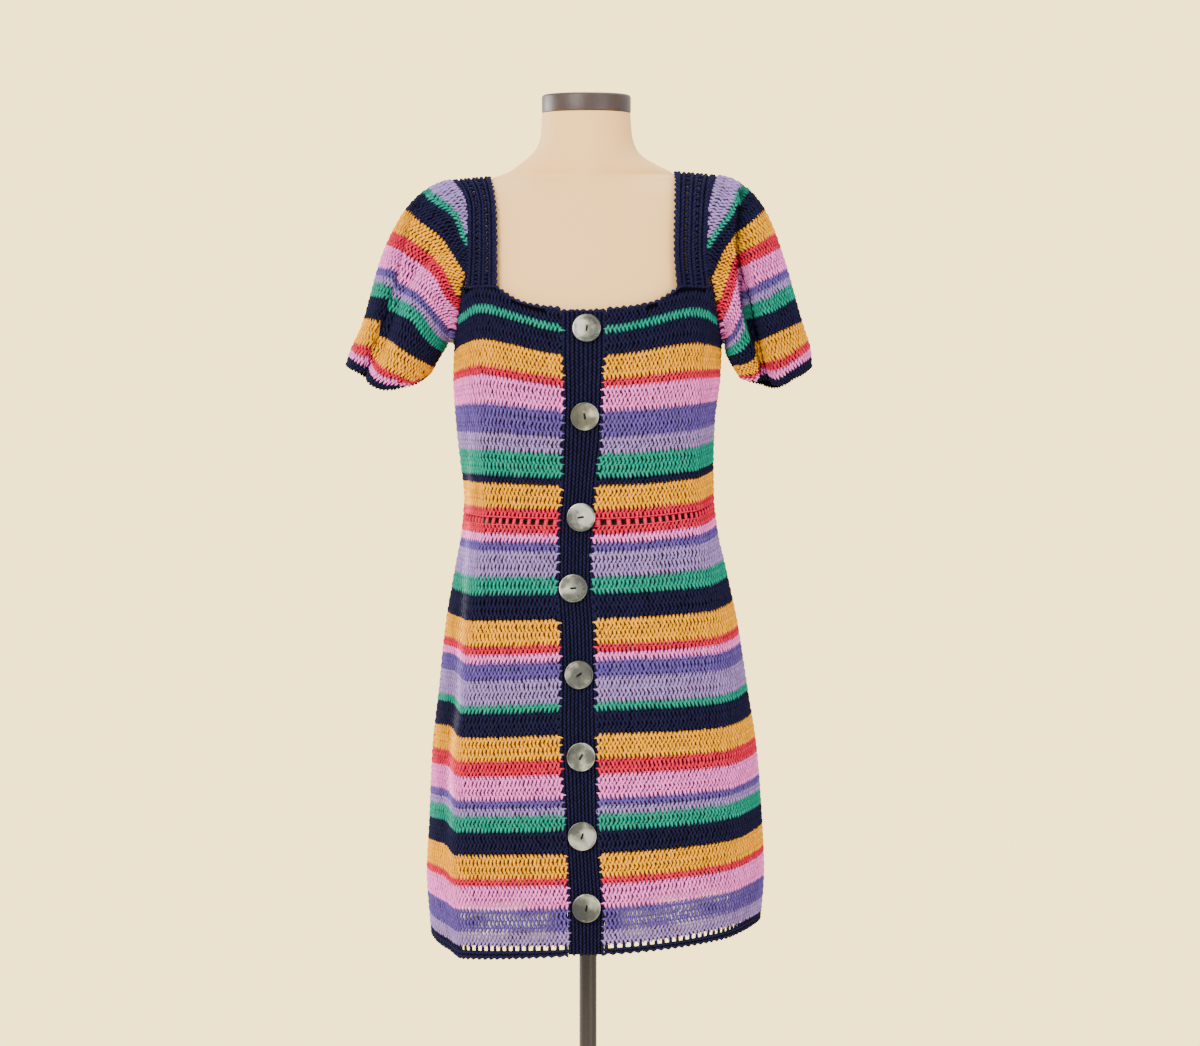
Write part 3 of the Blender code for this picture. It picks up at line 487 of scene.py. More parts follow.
# colours of the yarn, and the rows they were worked in
yarn = dict(
    navy=(0.0110, 0.0106, 0.040), orange=(1.0, 0.415, 0.0), red=(0.68, 0.017, 0.060), pink=(1.0, 0.225, 0.72),
    purple=(0.122, 0.078, 0.33), lilac=(0.335, 0.222, 0.53), green=(0.016, 0.285, 0.198),
)
navyYarn = np.array(yarn["navy"])
bodyRows = """
green 1 navy 3 orange 3 red 1 pink 3 purple 3 lilac 2 green 3 navy 1 orange 3 red 3 pink 1 purple 1
lilac 3 green 2 navy 3 orange 3 red 1 pink 1 purple 2 lilac 3 green 1 navy 3 orange 3 red 2 pink 3
purple 1 lilac 1 green 2 navy 3 orange 3 red 1 pink 3 purple 3 lilac 2 navy 3"""
sleeveRows = """
lilac 3 green 1 navy 3 orange 3 red 2 pink 3 purple 1 lilac 1 green 2 navy 3 orange 3 red 1 pink 1 navy 4"""
topRows = ["navy", "navy", "lilac", "lilac", "navy", "navy", "navy", "navy"]  # row -1 and upwards


def stripes(words):
    words = words.split()
    return [name for name, count in zip(words[::2], words[1::2]) for _ in range(int(count))]


bodyStripes = stripes(bodyRows)
sleeveStripes = stripes(sleeveRows)


def rowColour(rows, row):
    if row < 0:
        return np.array(yarn[topRows[min(-row - 1, len(topRows) - 1)]])
    return np.array(yarn[rows[min(row, len(rows) - 1)]])


def plain(colour):  # the same colour all over a cloth
    return lambda u, v: np.tile(colour, (len(u), 1))


# modelling helpers
def deselect():
    if bpy.context.object and bpy.context.object.mode != "OBJECT":
        bpy.ops.object.mode_set(mode="OBJECT")
    bpy.ops.object.select_all(action="DESELECT")


def only(piece):
    deselect()
    piece.select_set(True)
    bpy.context.view_layer.objects.active = piece
    return piece


def editAll(piece):  # leaves the piece in edit mode with all of it selected
    only(piece)
    bpy.ops.object.mode_set(mode="EDIT")
    bpy.ops.mesh.select_all(action="SELECT")


def editFaces(piece, chosen):  # leaves the piece in edit mode with the chosen faces selected
    only(piece)
    bpy.ops.object.mode_set(mode="EDIT")
    bpy.ops.mesh.select_mode(type="FACE")
    bpy.ops.mesh.select_all(action="DESELECT")
    bpy.ops.object.mode_set(mode="OBJECT")
    for face in piece.data.polygons:
        face.select = chosen(face)
    bpy.ops.object.mode_set(mode="EDIT")


def smooth(piece, degrees):
    only(piece)
    bpy.ops.object.shade_smooth_by_angle(angle=math.radians(degrees))
    return piece


def joined(pieces):
    only(pieces[0])
    for piece in pieces[1:]:
        piece.select_set(True)
    bpy.ops.object.join()
    return pieces[0]


def addGrid(across, down):
    deselect()
    bpy.ops.mesh.primitive_grid_add(x_subdivisions=across, y_subdivisions=down, size=1)
    return bpy.context.object


def places(piece):
    co = np.empty(len(piece.data.vertices) * 3)
    piece.data.vertices.foreach_get("co", co)
    return co.reshape(-1, 3)


def place(piece, co):
    piece.data.vertices.foreach_set("co", np.ascontiguousarray(co, float).ravel())
    piece.data.update()


def modify(piece, kind, **values):
    only(piece)
    made = piece.modifiers.new(kind.title(), kind)
    for name, value in values.items():
        setattr(made, name, value)
    bpy.ops.object.modifier_apply(modifier=made.name)


def tint(piece, colours):  # the colour of the yarn at each point
    colours = np.hstack([colours, np.ones((len(colours), 1))])
    piece.data.color_attributes.new("yarn", "FLOAT_COLOR", "POINT").data.foreach_set("color", colours.ravel())


def yarnMesh(points, faces, colours):  # thousands of copied loops of yarn as one piece
    deselect()
    mesh = bpy.data.meshes.new("yarn")
    mesh.from_pydata(np.concatenate(points), [], np.concatenate(faces))
    piece = bpy.data.objects.new("yarn", mesh)
    bpy.context.collection.objects.link(piece)
    mesh.shade_smooth()
    tint(piece, np.concatenate(colours))
    return piece


def finishPiece(piece, name, material):
    piece.name = piece.data.name = name
    piece.data.materials.clear()
    piece.data.materials.append(material)
    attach(piece, "root")
    return piece


# one loop of yarn, modelled once: x across in stitches, y down in rows, z out in metres; its colour carries
# painted shade at its edges
def yarnLoop(wide, top, bottom, height, tip=(1.0, 1.0), cells=(3, 3), shade=0.55, across=False,
             slant=0.0, raised=0.0, aside=0.0):
    loop = addGrid(*cells)
    co = places(loop)
    x, y = 2 * co[:, 0], 0.5 - co[:, 1]
    if across:
        swell = np.sqrt(np.clip(1.06 - x**2, 0, 1)) * 0.45 + 0.55
        side, down = 0.5 * wide * x, mix(top, bottom, 0.5 + (y - 0.5) * swell) + slant * x
        bulge = np.clip(1 - (2 * y - 1) ** 2, 0, 1) ** 0.5 * np.clip(1 - 0.75 * x**2, 0, 1) ** 0.5
    else:
        girth = np.interp(y, (0, 0.5, 1), (tip[0], 1.0, tip[1]))
        side, down = 0.5 * wide * girth * x + slant * (y - 0.5), mix(top, bottom, y)
        bulge = np.clip(1 - x**2, 0, 1) ** 0.5 * np.clip(1 - 0.8 * (2 * y - 1) ** 2, 0, 1) ** 0.5
    shaped = np.stack([side + aside, down, height * (bulge - 0.55) + raised], axis=-1)
    faces = np.array([list(face.vertices) for face in loop.data.polygons])
    # painted shade: at its edges the loop's colour falls to the share shade of itself, for the shade in the
    # grooves between loops
    grooveShade = shade + (1 - shade) * np.clip(bulge, 0, 1)
    bpy.data.objects.remove(loop)
    return shaped, faces[:, ::-1], grooveShade


# sets loops on a surface, each stitch at its own place, and joins them into one mesh
def workStitches(surface, stitch, loops, sense, reach, lift=0.0):
    points, faces, colours, count = [], [], [], 0
    u, v, wide, tall = (stitch[name] for name in ("u", "v", "wide", "tall"))
    out = normalsOf(surface, u, v + 0.5 * tall, *reach, sense)
    for shape, ring, grooveShade in loops:
        x = shape[:, 0] + stitch["lean"][:, None] * (shape[:, 1] - 0.5)
        y = shape[:, 1] + stitch["rise"][:, None] * shape[:, 0]
        spot = surface(u[:, None] + wide[:, None] * x, v[:, None] + tall[:, None] * y)
        spot = spot + out[:, None, :] * (shape[:, 2] * stitch["puff"][:, None] + lift)[..., None]
        points.append(spot.reshape(-1, 3))
        shift = (np.arange(len(u)) * len(shape) + count)[:, None, None]
        faces.append((shift + (ring if sense > 0 else ring[:, ::-1])).reshape(-1, 4))
        colours.append((stitch["tint"][:, None, :] * grooveShade[:, None]).reshape(-1, 3))
        count += len(u) * len(shape)
    return yarnMesh(points, faces, colours)


# a stitch of the main cloth, in metres
stitchSizes = dict(pitch=0.0046, postHeight=0.0019)
# rows are worked to and fro, so they lean by turns, and no stitch is quite like the next
rowSlant = dict(lean=0.15, rise=0.05)
uneven = dict(phase=0.3, across=0.08, down=0.04, wide=0.08, tall=0.05, lean=0.14, rise=0.06, puff=0.16,
              tint=0.13, hue=0.02)


def stitchRow(count, row, colour, start=-0.003, end=1.003, jitter=1.0):
    wide = (end - start) / count
    spread = lambda size: chance.uniform(-size, size, count) * jitter
    side = 1 if row % 2 else -1
    phase = chance.uniform(-uneven["phase"], uneven["phase"]) * jitter
    return dict(
        u=start + (np.arange(count) + 0.5 + phase) * wide + spread(uneven["across"] * wide),
        v=row + spread(uneven["down"]),
        wide=wide * (1 + spread(uneven["wide"])),
        tall=1 + spread(uneven["tall"]),
        lean=rowSlant["lean"] * side + spread(uneven["lean"]),
        rise=rowSlant["rise"] * side + spread(uneven["rise"]),
        puff=1 + spread(uneven["puff"]),
        tint=colour * (1 + spread(uneven["tint"]))[:, None]
        * (1 + chance.uniform(-uneven["hue"], uneven["hue"], (count, 3))),
    )


def setStitches(stitch, **values):  # the same value for every stitch of a row
    for name, value in values.items():
        stitch[name] = np.full(len(stitch["u"]), value)
    return stitch


def joinRows(rows):
    return {name: np.concatenate([row[name] for row in rows]) for name in rows[0]}


def keep(stitch, chosen):
    return {name: values[chosen] for name, values in stitch.items()}


def lengthsAlong(points):  # from the first point to each one, along the line
    return np.concatenate([[0], np.cumsum(np.linalg.norm(np.diff(points, axis=0), axis=1))])


def runLength(surface, row, low=0.0, high=1.0, steps=60):
    return lengthsAlong(surface(np.linspace(low, high, steps + 1), np.full(steps + 1, float(row))))[-1]


def evenRow(made, surface, low=0.0, high=1.0, steps=360):  # sets the stitches apart by length along their row
    row = float(np.mean(made["v"])) + 0.5
    share = np.linspace(low, high, steps + 1)
    along = lengthsAlong(surface(share, np.full(steps + 1, row)))
    along = low + (high - low) * along / along[-1]

    def at(spot):
        inside = np.clip(spot, low, high)
        return np.interp(inside, along, share) + spot - inside

    middle, half = made["u"], 0.5 * made["wide"]
    made.update(u=at(middle), wide=at(middle + half) - at(middle - half))
    return made


# the long ridge on the skirt's left, with a painted highlight where it catches the light and painted shade
# beside it
ridgeLine = table(
    "height across",
    (0.6805, -0.1496), (0.7245, -0.1496), (0.7795, -0.1474), (0.8345, -0.1408),
    (0.9005, -0.1386), (0.9445, -0.1342), (1.0875, -0.1298), (1.1425, -0.1254),
)
ridge = dict(light=0.45, lightWidth=0.0030, highlightPale=0.10, shade=0.22, shadeAside=0.011, shadeWidth=0.007,
             begin=(0.68, 0.76), lightEnd=(1.15, 1.08), shadeEnd=(1.02, 0.94))


def ridgeLight(made, surface):
    spot = surface(made["u"], made["v"] + 0.5)
    height = spot[:, 2]
    away = spot[:, 0] - read(ridgeLine, "height", "across", height)
    light = ridge["light"] * np.exp(-((away / ridge["lightWidth"]) ** 2))
    light = light * ramp(height, *ridge["begin"]) * ramp(height, *ridge["lightEnd"])
    shade = ridge["shade"] * np.exp(-(((away + ridge["shadeAside"]) / ridge["shadeWidth"]) ** 2))
    shade = shade * ramp(height, *ridge["begin"]) * ramp(height, *ridge["shadeEnd"])
    # painted highlight along the ridge, paled towards white, and painted shade beside it
    made["tint"] = made["tint"] * (1 + light - shade)[:, None] + ridge["highlightPale"] * light[:, None]
    return made


# thin cloth behind the stitches, on the form of its solid; its colour is its yarn's, darkened as painted
# shade for the gaps between stitches
clothSizes = dict(behind=0.0014, thickness=0.0009, backShade=0.05)


def backing(surface, uRange, vRange, cells, sense, reach, colourAt, closed=False, cut=None, columns=None,
            rows=None):
    cloth = addGrid(*cells)
    co = places(cloth)
    x, y = co[:, 0] + 0.5, 0.5 - co[:, 1]
    if columns is not None:
        x = np.interp(x, np.linspace(0, 1, len(columns)), columns)
    if rows is not None:
        y = np.interp(y, np.linspace(0, 1, len(rows)), rows)
    if cut:
        editFaces(cloth, lambda face: cut(int((face.center.x + 0.5) * cells[0]),
                                          int((0.5 - face.center.y) * cells[1])))
        bpy.ops.mesh.delete(type="ONLY_FACE")
        bpy.ops.object.mode_set(mode="OBJECT")
    u, v = mix(*uRange, x), mix(*vRange, y)
    place(cloth, surface(u, v) - normalsOf(surface, u, v, *reach, sense) * clothSizes["behind"])
    # painted shade: the cloth takes its yarn's colour times backShade
    tint(cloth, colourAt(u, v) * clothSizes["backShade"])
    editAll(cloth)
    if closed:
        bpy.ops.mesh.remove_doubles(threshold=0.00001)
    if sense > 0:
        bpy.ops.mesh.flip_normals()
    bpy.ops.object.mode_set(mode="OBJECT")
    modify(cloth, "SOLIDIFY", thickness=clothSizes["thickness"], offset=-1.0)
    return smooth(cloth, 50)


bodyLoops = [
    yarnLoop(0.86, -0.06, 0.60, stitchSizes["postHeight"], tip=(0.6, 0.85), cells=(3, 2), slant=0.34,
             shade=0.26, aside=-0.25),
    yarnLoop(0.82, 0.42, 1.22, stitchSizes["postHeight"], tip=(0.92, 0.36), cells=(3, 3), slant=-0.30,
             shade=0.30, raised=0.0003, aside=0.25),
]
ribLoops = [yarnLoop(0.92, -0.12, 1.14, 0.0027, tip=(0.6, 0.7), cells=(3, 4), shade=0.25)]
print("one stitch:", sum(2 * len(loop[1]) for loop in bodyLoops), "triangles")


# materials
class Value:  # a shader value that takes part in sums
    def __init__(self, paint, link):
        self.paint, self.link = paint, link

    def sum(self, operation, a, b):
        return self.paint.node("ShaderNodeMath", dict(operation=operation), {0: a, 1: b})

    def __add__(self, other):
        return self.sum("ADD", self, other)

    def __sub__(self, other):
        return self.sum("SUBTRACT", self, other)

    def __mul__(self, other):
        return self.sum("MULTIPLY", self, other)


class Paint:  # a material and the nodes that make it
    def __init__(self, name, **values):
        self.material = bpy.data.materials.new(name)
        self.material.use_nodes = True
        self.tree = self.material.node_tree
        self.shader = self.tree.nodes["Principled BSDF"]
        for key, value in values.items():
            self.set(key, value)

    def set(self, key, value):
        name = {"base": "Base Color", "rough": "Roughness", "metal": "Metallic", "normal": "Normal",
                "coat": "Coat Weight", "coatRough": "Coat Roughness", "sheen": "Sheen Weight",
                "sheenRough": "Sheen Roughness", "level": "Specular IOR Level"}[key]
        self.fill(self.shader.inputs[name], value)

    def fill(self, socket, value):
        if isinstance(value, Value):
            self.tree.links.new(value.link, socket)
        elif hasattr(value, "__len__") and len(value) == 3 and socket.type == "RGBA":
            socket.default_value = (*value, 1)
        else:
            socket.default_value = value

    def node(self, kind, settings=None, values=None, out=0):
        made = self.tree.nodes.new(kind)
        for name, value in (settings or {}).items():
            setattr(made, name, value)
        for name, value in (values or {}).items():
            self.fill(made.inputs[name], value)
        return Value(self, made.outputs[out])

    def spot(self):
        return self.node("ShaderNodeTexCoord", out="Object")

    def attribute(self, name, out):
        return self.node("ShaderNodeAttribute", dict(attribute_name=name), out=out)

    def noise(self, scale, detail=3.0, rough=0.5):
        values = {"Scale": scale, "Detail": detail, "Roughness": rough, "Vector": self.spot()}
        return self.node("ShaderNodeTexNoise", {}, values)

    def wave(self, direction, scale, distortion, detail=2.0):
        values = {"Vector": self.spot(), "Scale": scale, "Distortion": distortion, "Detail": detail}
        return self.node("ShaderNodeTexWave", dict(wave_type="BANDS", bands_direction=direction), values)

    def between(self, share, a, b, blend="MIX"):
        settings = dict(data_type="RGBA", blend_type=blend)
        return self.node("ShaderNodeMix", settings, {0: share, 6: a, 7: b}, out=2)

    def stops(self, share, *stops):  # colours at places along a share
        value = self.node("ShaderNodeValToRGB", {}, {"Fac": share})
        elements = value.link.node.color_ramp.elements
        while len(elements) < len(stops):
            elements.new(0.5)
        for element, (at, colour) in zip(elements, stops):
            element.position, element.color = at, (*colour, 1)
        return value

    def grey(self, value):
        return self.node("ShaderNodeCombineColor", {}, {0: value, 1: value, 2: value})

    def bump(self, height, distance, strength):
        values = {"Height": height, "Distance": distance, "Strength": strength}
        self.set("normal", self.node("ShaderNodeBump", {}, values))


def crochetYarn(name):  # matt twisted cotton, in the colour that each stitch has
    paint = Paint(name, rough=0.88, sheen=0.0, sheenRough=0.4, level=0.05)
    patchy = paint.noise(26.0, 3.0) * 0.22 + 0.89
    strands = paint.noise(850.0, 2.0, 0.6)
    shade = paint.grey((strands * 0.5 + 0.75) * patchy)
    paint.set("base", paint.between(1.0, paint.attribute("yarn", "Color"), shade, "MULTIPLY"))
    paint.bump(paint.wave("DIAGONAL", 330.0, 2.5, 1.0) * 0.6 + strands * 0.8, 0.0004, 0.7)
    return paint.material


cover = dict(pale=(0.96, 0.555, 0.200), warm=(1.0, 0.61, 0.230), fleck=(0.72, 0.43, 0.15),
             shade=(0.006, 0.004, 0.008), shadeHeight=1.037, shadeReach=0.03, shadeShare=0.97)


def formCoverPaint():
    paint = Paint("formCover", rough=0.62, sheen=0.10, sheenRough=0.5, level=0.32)
    fine = paint.noise(900.0, 2.0)
    base = paint.between(paint.noise(7.0, 4.0), cover["pale"], cover["warm"])
    base = paint.between(fine * 0.16, base, cover["fleck"])
    # behind the waist holes the form is painted near-black, as painted shade of the cloth over it
    height = paint.node("ShaderNodeSeparateXYZ", {}, {"Vector": paint.spot()}, out="Z")
    waist = paint.node("ShaderNodeMath", dict(operation="COMPARE"),
                       {0: height, 1: cover["shadeHeight"], 2: cover["shadeReach"]})
    paint.set("base", paint.between(waist * cover["shadeShare"], base, cover["shade"]))
    paint.bump(paint.wave("Z", 420.0, 1.2) * 0.5 + fine * 0.7, 0.0002, 0.5)
    return paint.material


def capSatinPaint():
    paint = Paint("capSatin", sheen=0.2, sheenRough=0.3, level=0.5, coat=0.12, coatRough=0.35)
    spots = paint.noise(60.0, 5.0)
    paint.set("base", paint.between(spots, (0.024, 0.013, 0.010), (0.055, 0.031, 0.024)))
    paint.set("rough", spots * 0.2 + 0.30)
    paint.bump(paint.wave("Z", 260.0, 1.5) + spots * 0.5, 0.0002, 0.5)
    return paint.material


def standMetalPaint():
    paint = Paint("standMetal", metal=0.35, coat=0.25, coatRough=0.2)
    dust = paint.noise(9.0, 5.0)
    paint.set("base", paint.between(dust, (0.016, 0.011, 0.009), (0.030, 0.022, 0.018)))
    paint.set("rough", dust * 0.22 + 0.30)
    paint.bump(paint.noise(520.0, 2.0), 0.0001, 0.35)
    return paint.material


def shellPaint():  # grey mother of pearl: fine rings in a cloudy lustre
    paint = Paint("buttonShell", coat=0.7, coatRough=0.08, level=0.6)
    rings = paint.node("ShaderNodeTexWave", dict(wave_type="RINGS", rings_direction="SPHERICAL"),
                       {"Vector": paint.attribute("disc", "Vector"), "Scale": 110.0, "Distortion": 5.0,
                        "Detail": 3.0, "Detail Scale": 40.0})
    cloud = paint.noise(34.0, 3.0, 0.55)
    lustre = paint.stops(cloud + rings * 0.10 - 0.05, (0.36, (0.020, 0.023, 0.018)),
                         (0.50, (0.095, 0.100, 0.072)), (0.62, (0.56, 0.57, 0.48)))
    paint.set("base", paint.between(rings * 0.30, lustre, (0.03, 0.033, 0.028)))
    paint.set("rough", cloud * 0.2 + 0.10)
    paint.set("metal", cloud * 0.5 + 0.15)
    paint.bump(rings * 0.4 + cloud * 0.6, 0.00015, 0.4)
    return paint.material


def floorPaint():
    paint = Paint("studioFloor", rough=0.9, level=0.2)
    paint.set("base", paint.between(paint.noise(1.5, 3.0), (0.93, 0.79, 0.56), (0.95, 0.81, 0.58)))
    return paint.material


yarnPaint, backPaint, threadPaint = map(crochetYarn, ("crochetYarn", "crochetShadow", "sewingThread"))
formPaint, capPaint, metalPaint = formCoverPaint(), capSatinPaint(), standMetalPaint()
buttonPaint = shellPaint()
print("materials made")


# body of the dress
panels = dict(
    bodiceFrontLeft=dict(side=-1, node="bodice_front_left", flat=(0.155, 0.262), area=0.034),
    bodiceFrontRight=dict(side=1, node="bodice_front_right", flat=(0.178, 0.262), area=0.038),
    bodiceBack=dict(side=0, node="bodice_back", flat=(0.345, 0.262), area=0.080),
    skirtFrontLeft=dict(side=-1, node="skirt_front_left", flat=(0.205, 0.455), area=0.083),
    skirtFrontRight=dict(side=1, node="skirt_front_right", flat=(0.245, 0.455), area=0.098),
    skirtBack=dict(side=0, node="skirt_back", flat=(0.470, 0.455), area=0.190),
)
clothCells = dict(front=56, back=96, bodiceDown=60, skirtDown=104)
upperRows = 8  # rows above the neckline's middle, towards the shoulders
backSplit = 27  # the skirt's back has too many stitches for one piece
# light behind the loose rows near the hem, as patches of paler cloth; the glow makes up for the cloth's shade
hemLight = dict(rows=(70.8, 71.6), lastRows=(76.6, 75.4), shares=(0.10, 0.25), lastShares=(0.97, 0.85),
                glow=(22.0, 19.0, 14.5), strength=1.7, least=0.2)
sheets = {}


def colourOfRow(row, side=0):
    colours = np.array([rowColour(bodyStripes, k) for k in range(-upperRows, len(bodyStripes) + 2)])
    if side:  # above row 0 the fronts are navy alone
        colours[:upperRows] = navyYarn
    return colours[np.clip(np.floor(row).astype(int) + upperRows, 0, len(colours) - 1)]


def panelRow(surface, side, row, colour):
    count = round(runLength(surface, row + 0.5) / stitchSizes["pitch"])
    made = evenRow(stitchRow(count, row, colour), surface)
    return ridgeLight(made, surface) if side < 0 else made


def bodicePanel(side):
    sense = side or -1
    surface = bodiceRowPoint(side)

    def drop(share, down):  # place at a share of the way from the neckline to the waist
        angle = bodiceAngle(side, share, np.full_like(share, dress["bustHeight"]))
        height = mix(bodiceTop(angle), rowHeight(np.full_like(share, dress["waistRow"]), angle), down)
        return bodyPoint(bodiceAngle(side, share, height), height)

    def colourAt(share, down):
        height = drop(share, down)[:, 2]
        return colourOfRow(rowOf(bodiceAngle(side, share, height), height), side)

    cells = clothCells["front" if side else "back"], clothCells["bodiceDown"]
    cloth = backing(drop, (0, 1), (0, 0.9993), cells, sense, reaches["drop"], colourAt)
    rows = []
    for row in range(1 - upperRows, dress["waistRow"]):
        colour = navyYarn if side and row < 0 else rowColour(bodyStripes, row)
        made = panelRow(surface, side, row, colour)
        angle = bodiceAngle(side, made["u"], np.full_like(made["u"], dress["necklineHeight"]))
        rows.append(keep(made, rowHeight(made["v"] + 0.25, angle) < bodiceTop(angle)))
    return [cloth, workStitches(surface, joinRows(rows), bodyLoops, sense, reaches["rows"])]


def skirtPanel(side):
    sense = side or -1
    surface = skirtRowPoint(side)

    def lightThrough(share, row):  # near the hem the light comes through the loose rows
        near = ramp(row, *hemLight["rows"]) * ramp(row, *hemLight["lastRows"]) * abs(side)
        near = near * ramp(share, *hemLight["shares"]) * ramp(share, *hemLight["lastShares"])
        patches = 0.5 + 0.5 * np.sin(share * 17 + row * 1.3) * np.sin(share * 7 - row * 0.8)
        glow = near * np.clip(patches * hemLight["strength"] - hemLight["least"], 0, 1)
        return mix(colourOfRow(row), np.array(hemLight["glow"]), glow[:, None])

    cells = clothCells["front" if side else "back"], clothCells["skirtDown"]
    cloth = backing(surface, (0, 1), (dress["skirtRow"], dress["hemRow"]), cells, sense, reaches["rows"],
                    lightThrough)
    rows = [panelRow(surface, side, row, rowColour(bodyStripes, row))
            for row in range(dress["skirtRow"], dress["hemRow"])]
    parts = (rows,) if side else (rows[:backSplit], rows[backSplit:])
    return [cloth] + [workStitches(surface, joinRows(part), bodyLoops, sense, reaches["rows"])
                      for part in parts]


def addPanel(name, pieces, node, flat, area, rests=("form_torso",)):
    cloth, stitches = pieces[0], pieces[1:]
    finishPiece(cloth, name + "Cloth", backPaint)
    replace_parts(cloth, node)
    for k, piece in enumerate(stitches, start=1):
        finishPiece(piece, name + "Stitches" + (str(k) if len(stitches) > 1 else ""), yarnPaint)
    sheets[name] = dict(cloth=cloth, flat=flat, area=area, rests=list(rests), pieces=list(stitches))


for name, panel in panels.items():
    work = bodicePanel if "bodice" in name else skirtPanel
    addPanel(name, work(panel["side"]), panel["node"], panel["flat"], panel["area"])


# the row of holes at the waist and the border at the hem
# a rail is a line of flat stitches: its pitch, its row and its height in rows
eyelets = dict(
    waist=dict(node="waist_eyelets_", slot="red_crochet", colour="red", rests=("form_torso",),
               rows=(24.0, 24.35, 25.0), holeRow=1, pitch=0.0084, width=0.0046, points=0.0,
               rails=((0.0042, 24.0, 0.2625), (0.0047, 24.97, 0.2)), bareSide=-1,
               lengths=(0.118, 0.155, 0.300), tall=0.0088),
    hem=dict(node="hem_border_", slot="navy_crochet", colour="navy", rests=(),
             rows=(77.0, 77.672, 78.6), holeRow=0, pitch=0.0079, width=0.0046, points=0.0022,
             rails=((0.0042, 77.672, 0.464), (0.0042, 78.136, 0.464)), bareSide=None,
             lengths=(0.205, 0.245, 0.460), tall=0.0140),
)
eyeletShare = 0.62  # of the strip's area that is cloth
eyeletShade = 2.4  # the painted shade of the cloth behind the posts is lighter than behind whole rows
postLoops = [yarnLoop(1.05, -0.12, 1.12, 0.0021)]
railLoops = [yarnLoop(1.1, 0.0, 0.95, 0.0020, across=True)]


def eyeletRow(sizes, side):
    rows, holeRow, width = sizes["rows"], sizes["holeRow"], sizes["width"]
    colour = np.array(yarn[sizes["colour"]])
    sense = side or -1
    surface = skirtRowPoint(side)
    length = runLength(surface, 0.5 * (rows[0] + rows[-1]))
    holes = round(length / sizes["pitch"])
    post = (length - holes * width) / (holes + 1)
    steps = np.cumsum([0.0] + [post, width] * holes + [post]) / length

    def shaped(share, row):  # the hem's lower edge runs in small points
        spot = surface(share, row)
        cell = np.interp(share, steps, np.arange(len(steps)))
        spot[..., 2] -= sizes["points"] * (0.5 - 0.5 * np.cos(math.pi * cell)) * ramp(row, rows[1], rows[2])
        return spot

    def cut(i, j):  # every second place is a hole, and on the bare side the posts have no cloth behind them
        return j == holeRow and (i % 2 == 1 or side == sizes["bareSide"] and 0 < i < 2 * holes)

    cloth = backing(shaped, (0, 1), (0, 1), (len(steps) - 1, 2), sense, reaches["eyelets"],
                    plain(colour * eyeletShade), cut=cut, columns=steps, rows=rows)
    middles = 0.5 * (steps[0:-1:2] + steps[1::2])
    posts = stitchRow(len(middles), 0, colour, jitter=0.5)
    posts["u"] = middles
    setStitches(posts, v=rows[holeRow], wide=post / length, tall=rows[holeRow + 1] - rows[holeRow])
    knit = [workStitches(shaped, posts, postLoops, sense, reaches["eyelets"])]
    rails = [setStitches(stitchRow(round(length / pitch), k, colour, jitter=0.7), v=low, tall=tall)
             for k, (pitch, low, tall) in enumerate(sizes["rails"])]
    knit.append(workStitches(shaped, joinRows(rails), railLoops, sense, reaches["eyelets"]))
    return [cloth, joined(knit)]


for kind, sizes in eyelets.items():
    for side, where, length in zip((-1, 1, 0), ("front_left", "front_right", "back"), sizes["lengths"]):
        addPanel(kind + where.title().replace("_", ""), eyeletRow(sizes, side), sizes["node"] + where,
                 (length, sizes["tall"]), length * sizes["tall"] * eyeletShare, sizes["rests"])
print("waist row and hem border worked")


# shoulder straps: across them, lines are the edges of the ribs and the holes, and ribs and bars their middles
straps = dict(
    strapLeft=dict(columns=strapLeft, side=-1, node="shoulder_strap_left", flat=(0.034, 0.320)),
    strapRight=dict(columns=strapRight, side=1, node="shoulder_strap_right", flat=(0.036, 0.320)),
)
strapSizes = dict(lines=(0.0, 0.29, 0.37, 0.63, 0.71, 1.0), ribs=(0.06, 0.20, 0.43, 0.57, 0.79, 0.94),
                  bars=(0.33, 0.67), holes=45, pitch=0.0044, length=0.32, ribWidth=0.15, barWidth=0.16,
                  lean=0.3, wander=0.006, shade=1.1, barShare=0.6, barTall=0.52, barDown=0.03, whole=(6, 8),
                  ends=(0.0015, 0.9985))
borderShade = 2  # the painted shade of the cloth behind navy edges is lighter too


def shoulderStrap(columns, side):
    size = strapSizes
    point = strapPoint(columns)
    holes, (first, last) = size["holes"], size["whole"]  # the first and last steps stay whole
    steps = np.cumsum([size["barShare"], 1 - size["barShare"]] * holes) / holes
    steps = np.unique(np.round(np.concatenate([[0.0], steps, [1.0]]), 6))
    cloth = backing(point, (0, 1), size["ends"], (5, len(steps) - 1), side, reaches["strap"],
                    plain(navyYarn * borderShade), columns=size["lines"], rows=steps,
                    cut=lambda i, j: i in (1, 3) and j % 2 == 1 and first < j < len(steps) - last)
    rows = []
    count = round(size["length"] / size["pitch"])
    for k, centre in enumerate(size["ribs"]):
        made = stitchRow(count, k, navyYarn * size["shade"], 0, 1)
        setStitches(made, u=centre, wide=size["ribWidth"], tall=1 / count,
                    lean=size["lean"] * (1 if k % 2 else -1))
        made["u"] += chance.uniform(-size["wander"], size["wander"], count)
        made["v"] = (np.arange(count) + 0.5 * (k % 2) - 0.25) / count
        rows.append(made)
    for centre in size["bars"]:  # bars between the holes
        made = stitchRow(holes, 0, navyYarn, 0, 1, jitter=0.5)
        setStitches(made, u=centre, wide=size["barWidth"], tall=size["barTall"] / holes, lean=0.0)
        made["v"] = steps[0:-1:2][:holes] + size["barDown"] / holes
        rows.append(made)
    return [cloth, workStitches(point, joinRows(rows), ribLoops, side, reaches["strap"])]


for name, strap in straps.items():
    pieces = shoulderStrap(strap["columns"], strap["side"])
    addPanel(name, pieces, strap["node"], strap["flat"], None)
print("straps worked")


